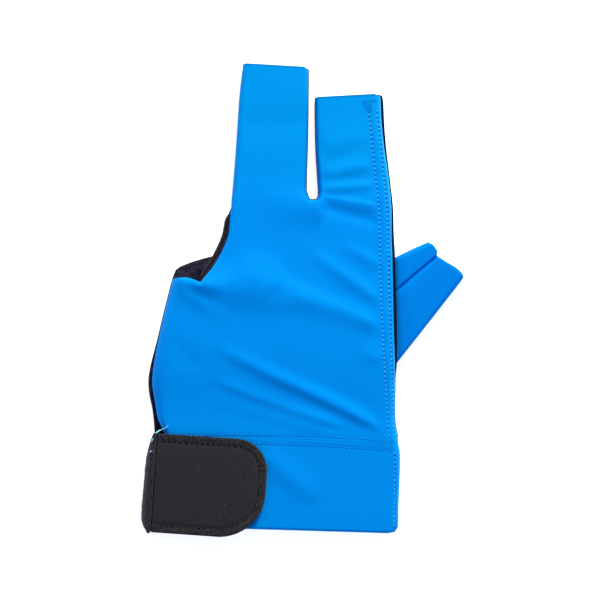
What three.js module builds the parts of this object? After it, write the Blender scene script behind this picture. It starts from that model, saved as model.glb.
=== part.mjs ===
// A billiard glove for the bridge hand: open sleeves for the thumb, index and middle finger, lying palm down.
// Millimetres. +X runs across the hand to the thumb, +Y from the wrist to the fingertips, +Z up from the table.
import * as THREE from "three";

const { clamp, lerp, smoothstep, degToRad } = THREE.MathUtils;

// Lengths of the glove as it lies.
const handLength = 94.3; // wrist seam to the slot between the fingers
const handWidth = 95; // across the widest part of the palm
const middleLength = 51.7; // slot to the open end of the middle finger
const indexLength = 39.9; // slot to the open end of the index finger
const cuffLength = 35; // wrist seam to the hem

// Cloth and the gaps between sewn pieces.
const clothWall = 1;
const cuffWall = 1.4; // two layers of the same cloth
const clearance = 0.3;

// Heights over the table.
const palmLoft = 10.5; // top of the cloth over the middle of the palm
const flangeRise = 1.2; // underside of the side seams
const thumbNeck = 6.4; // top of the thumb sleeve where it passes under the side seam

// Thumb sleeve.
const thumbLength = 28.6; // side seam to the middle of the open end
const thumbAngle = 45.7; // degrees from the +X axis
const thumbMouth = 19.9; // width of the open end
const thumbLoft = 7.2; // height of the sleeve beside the hand
const thumbCrease = 2; // depth of the fold along the sleeve
const thumbNotch = 1.5; // how far the fold draws the open end back
const thumbLow = 0.312; // ends of the sleeve's root, as shares of the hand's length
const thumbHigh = 0.754;

// Wrist strap.
const strapHeight = 38.6;
const tabLength = 43.5; // seam of the tab to its round end
const tabWall = 2;
const baseWall = 1.4;
const patchWall = 1;
const strapTilt = 4; // degrees that the strap hangs down towards its free end
const foldDepth = 4.3; // how far the strap reaches past its seam where it goes round the wrist
const foldFlat = 1.5; // flat part of that reach, beside the seam
const upperCorner = 12.5; // corner radii of the tab
const lowerCorner = 18;
const strapSeamX = -0.6483; // middle of the tab's seam, in shares of the hand's width and the cuff's length
const strapSeamY = -0.4926;

// Side lines of the cloth. at counts in cuff lengths below the wrist seam, in hand lengths up to 1 and in finger
// lengths from 1 to 2, and x is a share of the hand's width from the middle of the slot.
const littleSide = [
  { at: -1, x: -0.605 },
  { at: 0.02, x: -0.605 },
  { at: 0.05, x: -0.616 },
  { at: 0.11, x: -0.637 },
  { at: 0.25, x: -0.66 },
  { at: 0.46, x: -0.625 },
  { at: 0.668, x: -0.576 },
];
const heelGuide = [
  { at: -1, x: -0.4 },
  { at: 0, x: -0.4 },
  { at: 0.655, x: -0.458 },
];
const openingSide = [
  { at: 0.655, x: -0.458 },
  { at: 0.71, x: -0.413 },
  { at: 0.772, x: -0.376 },
  { at: 0.839, x: -0.347 },
  { at: 0.892, x: -0.34 },
  { at: 1, x: -0.333 },
  { at: 1.25, x: -0.321 },
  { at: 1.5, x: -0.311 },
  { at: 1.75, x: -0.303 },
  { at: 1.9, x: -0.297 },
  { at: 2, x: -0.2845 },
];
const slotMiddleSide = [
  { at: -1, x: -0.025 },
  { at: 1, x: -0.025 },
  { at: 1.5, x: -0.019 },
  { at: 2, x: -0.016 },
];
const slotIndexSide = [
  { at: -1, x: 0.0255 },
  { at: 1, x: 0.0255 },
  { at: 1.5, x: 0.0135 },
  { at: 2, x: 0.01 },
];
const thumbSide = [
  { at: -1, x: 0.34 },
  { at: -0.95, x: 0.352 },
  { at: -0.75, x: 0.354 },
  { at: -0.12, x: 0.361 },
  { at: 0.03, x: 0.351 },
  { at: 0.09, x: 0.34 },
  { at: 0.25, x: 0.3395 },
  { at: 0.46, x: 0.3335 },
  { at: 0.67, x: 0.329 },
  { at: 0.85, x: 0.3256 },
  { at: 0.95, x: 0.3256 },
  { at: 1, x: 0.3225 },
  { at: 1.25, x: 0.311 },
  { at: 1.5, x: 0.295 },
  { at: 1.75, x: 0.2845 },
  { at: 2, x: 0.2796 },
];
// How far the palm's cloth shows past the back's, in shares of the hand's width.
const littleLip = [
  { at: -1, x: 0 },
  { at: 0.02, x: 0.04 },
  { at: 0.06, x: 0.024 },
  { at: 0.15, x: 0.018 },
  { at: 0.3, x: 0.01 },
  { at: 0.43, x: 0.002 },
  { at: 0.706, x: 0 },
];
const thumbLip = [
  { at: -1, x: 0 },
  { at: 0.27, x: 0 },
  { at: 0.33, x: 0.0075 },
  { at: 2, x: 0.0075 },
];
const palmOpeningSide = [
  { at: 0.764, x: -0.398 },
  { at: 0.79, x: -0.392 },
  { at: 0.83, x: -0.378 },
  { at: 0.868, x: -0.366 },
  { at: 0.917, x: -0.357 },
  { at: 0.945, x: -0.34 },
  { at: 1, x: -0.333 },
];
// How steeply the rows fall towards the thumb side, in mm per mm.
const rowFall = [
  { at: -1, x: 0.03 },
  { at: 0, x: 0.05 },
  { at: 0.35, x: 0 },
  { at: 2, x: 0 },
];
// Height of the cloth along the glove, as a share of the palm's loft.
const loft = [
  { at: -1, x: 0.762 },
  { at: -0.1, x: 0.762 },
  { at: 0.12, x: 0.84 },
  { at: 0.4, x: 1 },
  { at: 0.7, x: 0.97 },
  { at: 1, x: 0.78 },
  { at: 1.25, x: 0.69 },
  { at: 2, x: 0.67 },
];
// Width over which the cloth rises from its side seams, as a share of the hand's width.
const shoulder = [
  { at: -1, x: 0.05 },
  { at: 0, x: 0.055 },
  { at: 0.25, x: 0.095 },
  { at: 0.8, x: 0.085 },
  { at: 1.1, x: 0.053 },
  { at: 2, x: 0.05 },
];
// Folds of the back: ends as shares of the hand's width and length, half width as a share of the hand's width, and
// height as a share of the palm's loft.
const folds = [
  { x0: -0.372, y0: 0.38, x1: 0.326, y1: 0.04, width: 0.034, height: 0.16 },
  { x0: -0.462, y0: 0.252, x1: 0.133, y1: 0.074, width: 0.028, height: 0.1 },
  { x0: -0.503, y0: 0.177, x1: -0.051, y1: 0.036, width: 0.03, height: 0.06 },
  { x0: -0.523, y0: 0.653, x1: -0.2, y1: 0.575, width: 0.033, height: 0.12 },
  { x0: -0.552, y0: 0.632, x1: -0.4, y1: 0.508, width: 0.022, height: 0.05 },
  { x0: -0.257, y0: 0.715, x1: 0.269, y1: 0.458, width: 0.045, height: 0.12 },
  { x0: 0.023, y0: 0.74, x1: 0.269, y1: 0.562, width: 0.032, height: 0.09 },
  { x0: 0.092, y0: 0.872, x1: 0.269, y1: 0.781, width: 0.025, height: 0.06 },
  { x0: 0.031, y0: 1.004, x1: 0.269, y1: 0.942, width: 0.021, height: 0.09 },
  { x0: 0.039, y0: 1.041, x1: 0.262, y1: 1.05, width: 0.018, height: 0.06 },
  { x0: 0.051, y0: 1.116, x1: 0.255, y1: 1.149, width: 0.022, height: 0.05 },
  { x0: 0.092, y0: 0.479, x1: 0.277, y1: 0.326, width: 0.028, height: 0.06 },
  { x0: -0.15, y0: -0.08, x1: 0.05, y1: -0.27, width: 0.035, height: 0.07 },
];
// Reach of the strap where it goes round the wrist, from its lower edge to its upper one.
const strapBulge = [
  { at: 0, x: 0.42 },
  { at: 0.06, x: 0.8 },
  { at: 0.15, x: 1 },
  { at: 0.5, x: 0.98 },
  { at: 0.75, x: 0.92 },
  { at: 0.9, x: 0.7 },
  { at: 1, x: 0.42 },
];
// Reach of the opening's hem past the edge of the back.
const hemReach = 2.3;
const hemTuck = 1.6; // how far the hem runs under the back
const hemDroop = 0.8;
const hemTaper = [
  { at: 0, x: 0.5 },
  { at: 0.2, x: 1 },
  { at: 0.8, x: 1 },
  { at: 1, x: 0.4 },
];
const hemEnd = 0.915;

// Slants of the sleeves' open ends, the round bottom of the slot and the arch of the back's opening edge.
const middleSlant = 1.5;
const indexSlant = -1.4;
const slotRound = 0.9;
const openingArch = 1.2;

// Hole in the palm for the thumb, measured in from the side seam and along the hand.
const holeStrip = 2.6;
const holeReach = 8.4;
const holeLow = thumbLow + 0.018;
const holeHigh = thumbHigh - 0.012;

const blueCloth = new THREE.MeshStandardMaterial({ color: 0x0090ee, roughness: 0.6, metalness: 0 });
const blackCloth = new THREE.MeshStandardMaterial({ color: 0x18171b, roughness: 0.85, metalness: 0 });
const blackStrap = new THREE.MeshStandardMaterial({ color: 0x26262a, roughness: 0.9, metalness: 0 });
const blackHook = new THREE.MeshStandardMaterial({ color: 0x111113, roughness: 0.7, metalness: 0 });

// A smooth curve through a table's rows.
function along(rows, at) {
  const last = rows.length - 1;
  let i = 0;
  while (i < last - 1 && at > rows[i + 1].at) i += 1;
  const slope = (k) => {
    const before = rows[Math.max(k - 1, 0)];
    const after = rows[Math.min(k + 1, last)];
    return (after.x - before.x) / (after.at - before.at);
  };
  const span = rows[i + 1].at - rows[i].at;
  const t = clamp((at - rows[i].at) / span, 0, 1);
  const start = (1 - t) ** 2 * ((1 + 2 * t) * rows[i].x + t * slope(i) * span);
  const end = t ** 2 * ((3 - 2 * t) * rows[i + 1].x + (t - 1) * slope(i + 1) * span);
  return start + end;
}

// The place of a station on the glove: x in mm, and at as the tables count it.
function place(x, at, fingerLength) {
  let y = handLength + (at - 1) * fingerLength;
  if (at < 0) y = at * cuffLength;
  else if (at <= 1) y = at * handLength;
  return new THREE.Vector2(x, y - along(rowFall, at) * x);
}

// The station that lies at a point, the reverse of place.
function stationOf(x, y) {
  const fingerLength = x < 0 ? middleLength : indexLength;
  if (y > handLength) return 1 + (y - handLength) / fingerLength;
  const rough = y < 0 ? y / cuffLength : y / handLength;
  const level = y + along(rowFall, rough) * x;
  return level < 0 ? level / cuffLength : level / handLength;
}

const sideX = (rows, at) => along(rows, at) * handWidth;
const palmLittleX = (at) => sideX(littleSide, at) - sideX(littleLip, at);
const palmThumbX = (at) => sideX(thumbSide, at) + sideX(thumbLip, at);

// A side seam as a chain of points.
function seamLine(xOf, from, to, fingerLength, steps) {
  return Array.from({ length: steps + 1 }, (_, i) => {
    const at = lerp(from, to, i / steps);
    return place(xOf(at), at, fingerLength);
  });
}

function distanceTo(line, x, y) {
  let least = Infinity;
  for (let i = 1; i < line.length; i += 1) {
    const a = line[i - 1];
    const dx = line[i].x - a.x;
    const dy = line[i].y - a.y;
    const t = clamp(((x - a.x) * dx + (y - a.y) * dy) / (dx * dx + dy * dy), 0, 1);
    least = Math.min(least, Math.hypot(x - a.x - t * dx, y - a.y - t * dy));
  }
  return least;
}

const seamStart = 0.03; // the little-finger seam ends here, over the strap
const fingerSeamStart = 0.946; // the middle finger's outer seam starts here, over the opening
const slotBottom = [
  place(sideX(slotMiddleSide, 1), 1, middleLength),
  place(0, 1, middleLength).setY(handLength - slotRound),
  place(sideX(slotIndexSide, 1), 1, indexLength),
];
const slotLines = [
  seamLine((at) => sideX(slotMiddleSide, at), 1, 2, middleLength, 16),
  slotBottom,
  seamLine((at) => sideX(slotIndexSide, at), 1, 2, indexLength, 16),
];
const backSeams = [
  seamLine((at) => sideX(littleSide, at), seamStart, 0.668, middleLength, 30),
  seamLine((at) => sideX(openingSide, at), fingerSeamStart, 2, middleLength, 30),
  seamLine((at) => sideX(thumbSide, at), -1, 2, indexLength, 120),
];
const palmSeams = [
  seamLine(palmLittleX, seamStart, 0.668, middleLength, 30),
  seamLine((at) => sideX(openingSide, at), fingerSeamStart, 2, middleLength, 30),
  seamLine(palmThumbX, -1, 2, indexLength, 120),
];

// Share of the way up to the thumb's roof: 1 at the side seam beside the thumb and 0 away from it.
function thumbLift(x, y) {
  const fade = 0.09 * handLength;
  const low = thumbLow * handLength;
  const high = thumbHigh * handLength;
  const beside = smoothstep(y, low - fade, low - clearance) * (1 - smoothstep(y, high + clearance, high + fade));
  return beside * smoothstep(x, 0, 0.15 * handWidth);
}

const seamZ = (x, y) => lerp(flangeRise, thumbNeck + clearance, thumbLift(x, y));

// Height that the folds add at a point.
function foldHeight(x, y) {
  let sum = 0;
  for (const fold of folds) {
    const ax = fold.x0 * handWidth;
    const ay = fold.y0 * handLength;
    const dx = fold.x1 * handWidth - ax;
    const dy = fold.y1 * handLength - ay;
    const length = Math.hypot(dx, dy);
    const t = ((x - ax) * dx + (y - ay) * dy) / length ** 2;
    const off = ((x - ax) * dy - (y - ay) * dx) / length / (fold.width * handWidth);
    if (t > 0 && t < 1) sum += fold.height * palmLoft * Math.sin(Math.PI * t) ** 0.7 * Math.exp(-off * off);
  }
  return sum;
}

// Top of the upper cloth: it lies on the seams at the sides and rises to the loft between them.
function roofZ(x, y) {
  const at = stationOf(x, y);
  const run = along(shoulder, at) * handWidth;
  let share = 1;
  const slot = Math.min(...slotLines.map((line) => distanceTo(line, x, y)));
  for (const distance of [slot, ...backSeams.map((line) => distanceTo(line, x, y))]) {
    share *= 1 - (1 - Math.min(distance / run, 1)) ** 2;
  }
  const edge = seamZ(x, y) + clothWall + clearance + cuffWall;
  return edge + (along(loft, at) * palmLoft - edge + foldHeight(x, y)) * share;
}

// Underside of the lower cloth: it lies on the table and turns up into the seams.
function floorZ(x, y) {
  const lift = thumbLift(x, y);
  const flange = lerp(0.38 * holeStrip, holeStrip, lift);
  const slope = lerp(2.4, holeReach - holeStrip - clearance, lift);
  const lines = [...slotLines, ...palmSeams];
  const distance = Math.min(...lines.map((line) => distanceTo(line, x, y)));
  const t = clamp((distance - flange) / slope, 0, 1);
  return (seamZ(x, y) * (1 + Math.cos(Math.PI * t))) / 2;
}

// A closed wall from a sheet of quads that face outwards: each corner gets an inner one, wall deep, and the free edges
// are closed.
function wallMesh(name, material, points, quads, wall) {
  const triangles = quads.flatMap(([a, b, c, d]) => [a, b, c, a, c, d]);
  const sheet = new THREE.BufferGeometry().setFromPoints(points).setIndex(triangles);
  sheet.computeVertexNormals();
  const normals = sheet.getAttribute("normal");
  const inner = points.map((p, i) => new THREE.Vector3().fromBufferAttribute(normals, i).multiplyScalar(-wall).add(p));
  const n = points.length;
  const faces = [...triangles];
  for (let i = 0; i < triangles.length; i += 3) {
    faces.push(triangles[i] + n, triangles[i + 2] + n, triangles[i + 1] + n);
  }
  const edges = new Map();
  for (const quad of quads) {
    quad.forEach((a, i) => {
      const b = quad[(i + 1) % quad.length];
      if (!edges.delete(`${b},${a}`)) edges.set(`${a},${b}`, [a, b]);
    });
  }
  for (const [a, b] of edges.values()) faces.push(b, a, a + n, b, a + n, b + n);
  const geometry = new THREE.BufferGeometry().setFromPoints([...points, ...inner]).setIndex(faces);
  geometry.computeVertexNormals();
  const mesh = new THREE.Mesh(geometry, material);
  mesh.name = name;
  return mesh;
}

// Quads of a plain net whose points are stored row by row.
function netQuads(rows, columns, closed = false) {
  const quads = [];
  const across = closed ? columns : columns - 1;
  for (let r = 0; r < rows - 1; r += 1) {
    for (let c = 0; c < across; c += 1) {
      const next = (c + 1) % columns;
      quads.push([r * columns + c, r * columns + next, (r + 1) * columns + next, (r + 1) * columns + c]);
    }
  }
  return quads;
}

// Places between two sides, closer together where the cloth turns at a seam.
function columnsBetween(low, high, lowInsets, cells, highInsets) {
  const from = low + lowInsets.at(-1);
  const to = high - highInsets.at(-1);
  const middle = Array.from({ length: cells - 1 }, (_, i) => lerp(from, to, (i + 1) / cells));
  return [...lowInsets.map((d) => low + d), ...middle, ...highInsets.map((d) => high - d).reverse()];
}

// The strips of cloth side by side: the heel of the hand, which stops at the opening for the ring and little finger,
// the middle finger, the slot and the index finger. Each has its own columns.
function layerNet(layer) {
  const { insets, cells, rows } = layer;
  const heelTop = rows.heel;
  const slotTop = heelTop + rows.upper;
  const last = slotTop + rows.finger;
  const strips = [
    { top: heelTop, low: layer.little, high: layer.opening, lowInsets: insets.side, cells: cells.heel, highInsets: [0] },
    { top: last, low: layer.opening, high: layer.slotMiddle, lowInsets: insets.side, cells: cells.finger, highInsets: insets.side },
    { top: slotTop, low: layer.slotMiddle, high: layer.slotIndex, lowInsets: [0], cells: cells.slot, highInsets: [0] },
    { top: last, low: layer.slotIndex, high: layer.thumb, lowInsets: insets.side, cells: cells.finger, highInsets: insets.thumb },
  ];
  const points = [];
  const index = new Map();
  const quads = [];
  let firstColumn = 0;
  strips.forEach((strip, s) => {
    const fingerLength = s < 2 ? middleLength : indexLength;
    const slant = s < 2 ? middleSlant : indexSlant;
    let columns = 0;
    for (let r = 0; r <= strip.top; r += 1) {
      const cornerAt = layer.stationAt(r, heelTop, slotTop, last);
      const lowAt = s === 0 ? layer.heelStationAt(r, heelTop) : cornerAt;
      const low = strip.low(lowAt);
      const high = strip.high(cornerAt);
      const xs = columnsBetween(low, high, strip.lowInsets, strip.cells, strip.highInsets);
      columns = xs.length;
      xs.forEach((x, c) => {
        const key = `${r},${firstColumn + c}`;
        if (index.has(key)) return;
        const u = (x - low) / (high - low);
        const p = place(x, lerp(lowAt, cornerAt, u), fingerLength);
        if (s === 0) p.y += layer.arch * Math.sin(Math.PI * u) * (r / heelTop) ** 4;
        if (s === 2 && r === slotTop) p.y -= slotRound * Math.sin(Math.PI * u) ** 0.5;
        if (r > slotTop) p.y += slant * (0.5 - u) * ((r - slotTop) / (last - slotTop)) ** 2;
        index.set(key, points.length);
        points.push(new THREE.Vector3(p.x, p.y, layer.heightOf(p.x, p.y)));
      });
    }
    for (let r = 0; r < strip.top; r += 1) {
      for (let c = firstColumn; c < firstColumn + columns - 1; c += 1) {
        const fromThumb = firstColumn + columns - 1 - c;
        const corners = [`${r},${c}`, `${r},${c + 1}`, `${r + 1},${c + 1}`, `${r + 1},${c}`].map((k) => index.get(k));
        if (s === 3 && layer.isHole(r, fromThumb, heelTop)) continue;
        quads.push(layer.faces === "up" ? corners : corners.reverse());
      }
    }
    firstColumn += columns - 1;
  });
  const used = [...new Set(quads.flat())].sort((a, b) => a - b);
  const renumber = new Map(used.map((old, i) => [old, i]));
  return { points: used.map((i) => points[i]), quads: quads.map((quad) => quad.map((i) => renumber.get(i))) };
}

// The rows of a panel of the hand: up to the corner of the opening, on to the slot, closer together there, and then
// along the fingers.
function handStations(corner, heelLeft, bands) {
  const start = clearance / 2 / handLength;
  return {
    stationAt(r, heelTop, slotTop, last) {
      if (r <= heelTop) return bands(r, heelTop, start, corner);
      if (r <= slotTop) {
        const t = (r - heelTop) / (slotTop - heelTop);
        return lerp(corner, 1, (t + Math.sin((Math.PI / 2) * t)) / 2);
      }
      return 1 + (r - slotTop) / (last - slotTop);
    },
    heelStationAt: (r, heelTop) => bands(r, heelTop, start, corner) * (heelLeft / corner),
  };
}

const evenBands = (r, top, start, end) => lerp(start, end, r / top);

function backPanel() {
  const corner = openingSide[0].at;
  const edge = 0.05 * handWidth;
  const net = layerNet({
    little: (at) => sideX(littleSide, at),
    opening: (at) => sideX(at < corner ? heelGuide : openingSide, at),
    slotMiddle: (at) => sideX(slotMiddleSide, at),
    slotIndex: (at) => sideX(slotIndexSide, at),
    thumb: (at) => sideX(thumbSide, at),
    insets: { side: [0, 0.14 * edge, 0.5 * edge, edge], thumb: [0, 0.14 * edge, 0.5 * edge, edge] },
    cells: { heel: 5, finger: 5, slot: 3 },
    rows: { heel: 20, upper: 11, finger: 12 },
    ...handStations(corner, littleSide.at(-1).at, evenBands),
    arch: openingArch,
    heightOf: roofZ,
    isHole: () => false,
    faces: "up",
  });
  return wallMesh("back_panel", blueCloth, net.points, net.quads, clothWall);
}

const holeRows = { below: 4, beside: 6, above: 1 };

// Rows of the palm up to the opening: some below the thumb's hole, some beside it and the rest above it.
function palmBands(r, top, start, end) {
  const { below, beside } = holeRows;
  if (r <= below) return lerp(start, holeLow, r / below);
  if (r <= below + beside) return lerp(holeLow, holeHigh, (r - below) / beside);
  return lerp(holeHigh, end, (r - below - beside) / (top - below - beside));
}

function palmPanel() {
  const corner = palmOpeningSide[0].at;
  const net = layerNet({
    little: palmLittleX,
    opening: (at) => {
      if (at < corner) return lerp(sideX(heelGuide, -1), palmOpeningSide[0].x * handWidth, at / corner);
      return sideX(at < 1 ? palmOpeningSide : openingSide, at);
    },
    slotMiddle: (at) => sideX(slotMiddleSide, at),
    slotIndex: (at) => sideX(slotIndexSide, at),
    thumb: palmThumbX,
    insets: { side: [0, 0.4 * holeStrip, 0.8 * holeStrip, 1.4 * holeStrip], thumb: [0, holeStrip / 2, holeStrip, holeReach] },
    cells: { heel: 2, finger: 2, slot: 2 },
    rows: { heel: holeRows.below + holeRows.beside + holeRows.above, upper: 6, finger: 8 },
    ...handStations(corner, littleLip.at(-1).at, palmBands),
    arch: openingArch,
    heightOf: floorZ,
    isHole: (r, fromThumb) => fromThumb === 3 && r >= holeRows.below && r < holeRows.below + holeRows.beside,
    faces: "down",
  });
  return wallMesh("palm_panel", blackCloth, net.points, net.quads, clothWall);
}

// One layer of the cuff, from the hem up to the wrist seam.
function cuffLayer(name, rows, columns, littleX, heightOf, faces) {
  const top = -clearance / 2 / cuffLength;
  const points = [];
  const edge = 0.05 * handWidth;
  const edges = [0, 0.14 * edge, 0.5 * edge, edge];
  let count = 0;
  for (let r = 0; r < rows; r += 1) {
    const at = lerp(-1, top, Math.sin(((Math.PI / 2) * r) / (rows - 1)));
    const xs = columnsBetween(littleX(at), sideX(thumbSide, at), [0], columns, edges);
    count = xs.length;
    for (const x of xs) {
      const p = place(x, at, middleLength);
      points.push(new THREE.Vector3(p.x, p.y, heightOf(p.x, p.y)));
    }
  }
  const quads = netQuads(rows, count);
  if (faces === "down") quads.forEach((quad) => quad.reverse());
  return wallMesh(name, blueCloth, points, quads, cuffWall);
}

// Line of the strap's seam: the middle of the seam and its lean.
const strapMiddle = new THREE.Vector2(strapSeamX * handWidth, strapSeamY * cuffLength);
const baseTail = 5.5; // the strap's base runs this far under the wrist
const strapLineX = (y) => strapMiddle.x + (y - strapMiddle.y) * Math.tan(degToRad(strapTilt));
const cuffTop = along(loft, -1) * palmLoft;
const patchZ = cuffTop + clearance;
const tabZ = patchZ + patchWall + clearance;
const strapTop = tabZ + tabWall;

// The thumb sleeve: sections from inside the side seam to the open end. Each goes round the flat tube, along the
// table and back over the top, where one fold runs the length of the sleeve.
function thumbSleeve() {
  const shares = [0, 0.03, 0.1, 0.2, 0.27, 0.31, 0.35, 0.45, 0.6, 0.75, 0.88, 0.97, 1];
  const creaseAt = shares[5];
  const sections = 11;
  const lowY = thumbLow * handLength;
  const highY = thumbHigh * handLength;
  const seamX = (y) => palmThumbX(stationOf(palmThumbX(y / handLength), y));
  const root = new THREE.Vector2(seamX((lowY + highY) / 2), (lowY + highY) / 2);
  const angle = degToRad(thumbAngle);
  const axis = new THREE.Vector2(Math.cos(angle), Math.sin(angle));
  const side = new THREE.Vector2(-axis.y, axis.x).multiplyScalar(thumbMouth / 2);
  const mouth = root.clone().addScaledVector(axis, thumbLength);
  const upper = [new THREE.Vector2(seamX(highY), highY), mouth.clone().add(side)];
  const lower = [new THREE.Vector2(seamX(lowY), lowY), mouth.clone().sub(side)];
  const points = [];
  const pass = (u, over, t, loftHere, width) => {
    const flat = upper[0].clone().lerp(upper[1], t).lerp(lower[0].clone().lerp(lower[1], t), u);
    const round = Math.min(1, (Math.min(u, 1 - u) * width) / (0.6 * loftHere));
    const half = (loftHere / 2) * Math.sqrt(1 - (1 - round) ** 2);
    const crease = Math.max(0, 1 - Math.abs(u - creaseAt) / 0.06);
    const deep = over ? thumbCrease * crease * smoothstep(t, -0.1, 0.25) : 0;
    flat.addScaledVector(axis, -thumbNotch * crease * smoothstep(t, 0.6, 1));
    return new THREE.Vector3(flat.x, flat.y, loftHere / 2 + (over ? half - deep : -half));
  };
  for (let k = -1; k <= sections; k += 1) {
    const t = Math.max(k, 0) / sections;
    const loftHere = lerp(thumbNeck, thumbLoft, smoothstep(t, 0.02, 0.3));
    const width = lerp(highY - lowY, thumbMouth, t);
    const loop = [
      ...shares.map((u) => pass(u, true, t, loftHere, width)),
      ...shares.slice(1, -1).reverse().map((u) => pass(u, false, t, loftHere, width)),
    ];
    if (k < 0) {
      for (const p of loop) {
        const under = 1 - p.z / thumbNeck;
        p.x -= lerp(holeStrip - clearance, holeReach - clearance, smoothstep(under, 0.2, 0.9));
        p.y = clamp(p.y, holeLow * handLength + 2 * clearance, holeHigh * handLength - 2 * clearance);
      }
    }
    points.push(...loop);
  }
  const around = 2 * shares.length - 2;
  const quads = netQuads(sections + 2, around, true);
  return wallMesh("thumb_sleeve", blueCloth, points, quads, clothWall);
}

// Black hem of the opening for the ring and little finger: a strip under the edge of the back.
function openingHem() {
  const steps = 12;
  const start = openingSide[0].at + 0.012;
  const points = [];
  for (let i = 0; i <= steps; i += 1) {
    const at = lerp(start, hemEnd, i / steps);
    const edge = place(sideX(openingSide, at), at, middleLength);
    const ahead = place(sideX(openingSide, at + 0.01), at + 0.01, middleLength).sub(edge).normalize();
    const out = new THREE.Vector2(-ahead.y, ahead.x);
    const reach = hemReach * along(hemTaper, i / steps);
    for (const off of [-hemTuck, -hemTuck / 3, reach / 3, reach]) {
      const p = edge.clone().addScaledVector(out, off);
      const inside = edge.clone().addScaledVector(out, Math.min(off, 0));
      const z = roofZ(inside.x, inside.y) - 1.35 * clothWall - clearance;
      points.push(new THREE.Vector3(p.x, p.y, z - hemDroop * (Math.max(off, 0) / hemReach) ** 2));
    }
  }
  const quads = netQuads(steps + 1, 4).map((quad) => quad.reverse());
  return wallMesh("opening_hem", blackCloth, points, quads, clothWall);
}

// The strap's own frame has its origin at the middle of the tab's seam, +X along the tab.
function strap() {
  const group = new THREE.Group();
  group.add(strapBase(), strapTab(), closurePatch());
  group.position.set(strapMiddle.x, strapMiddle.y, 0);
  group.rotation.z = -degToRad(strapTilt);
  return group;
}

const strapLow = -0.478 * strapHeight;
const strapHigh = strapLow + strapHeight;

// The base goes from under the wrist round its side and up to the tab's seam.
function strapBase() {
  const sections = 12;
  const turns = 10;
  const baseHigh = strapHigh - 1.5 * clearance;
  const points = [];
  for (let k = 0; k <= sections; k += 1) {
    const at = k / sections;
    const bulge = foldDepth * along(strapBulge, at) - foldFlat;
    const y = lerp(strapLow, baseHigh, at);
    const round = Array.from({ length: turns + 1 }, (_, i) => {
      const angle = (Math.PI * i) / turns;
      return new THREE.Vector3(-foldFlat - bulge * Math.sin(angle), y, (strapTop / 2) * (1 - Math.cos(angle)));
    });
    points.push(new THREE.Vector3(baseTail, y, 0), ...round, new THREE.Vector3(-clearance / 2, y, strapTop));
  }
  const quads = netQuads(sections + 1, turns + 3);
  return wallMesh("strap_base", blackStrap, points, quads, baseWall);
}

// Half heights of the tab at a distance from its seam: its round end has two corner radii.
function tabEdge(x, corner) {
  const into = Math.max(0, x - (tabLength - corner));
  return corner - Math.sqrt(Math.max(0, corner ** 2 - into ** 2));
}

function strapTab() {
  const columns = 16;
  const rows = 9;
  const patchEnd = tabLength - 6;
  const points = [];
  for (let c = 0; c <= columns; c += 1) {
    const x = lerp(clearance / 2, tabLength, Math.sin(((Math.PI / 2) * c) / columns));
    const low = strapLow + tabEdge(x, lowerCorner);
    const high = strapHigh - tabEdge(x, upperCorner);
    const droop = patchWall * smoothstep(x, patchEnd, tabLength + 2);
    for (let r = 0; r < rows; r += 1) points.push(new THREE.Vector3(x, lerp(low, high, r / (rows - 1)), strapTop - droop));
  }
  const quads = netQuads(columns + 1, rows).map((quad) => quad.reverse());
  return wallMesh("strap_tab", blackStrap, points, quads, tabWall);
}

// The hook-and-loop patch that holds the tab down on the cuff.
function closurePatch() {
  const length = 0.6 * tabLength;
  const height = 0.7 * strapHeight;
  const mesh = new THREE.Mesh(new THREE.BoxGeometry(length, height, patchWall), blackHook);
  mesh.position.set(0.55 * tabLength, strapLow + strapHeight / 2, patchZ + patchWall / 2);
  mesh.name = "closure_patch";
  return mesh;
}

// The cuff's lower layer stops where the strap's base begins.
const cuffBackLittleX = (at) => strapLineX(at * cuffLength) + (baseTail + clearance) / Math.cos(degToRad(strapTilt));

const glove = new THREE.Group();
glove.add(
  backPanel(),
  palmPanel(),
  thumbSleeve(),
  openingHem(),
  cuffLayer("cuff_front", 10, 18, (at) => sideX(littleSide, at), roofZ, "up"),
  cuffLayer("cuff_back", 5, 5, cuffBackLittleX, floorZ, "down"),
  strap(),
);

// The origin is the middle of the footprint, on the table.
glove.updateMatrixWorld(true);
const extent = new THREE.Box3().setFromObject(glove, true);
const middle = extent.getCenter(new THREE.Vector3());
glove.position.set(-middle.x, -middle.y, -extent.min.z);

export default glove;
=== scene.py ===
# %% [markdown]
# A billiard glove in Blender. The glove lies palm down on a white table and is seen from straight above. Its solids
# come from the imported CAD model, which is loaded first and never moved. Each cell below makes one piece of cloth, one
# kind of sewing or one finish, and every size is in millimetres until a mesh is made from it.

import math

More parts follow.
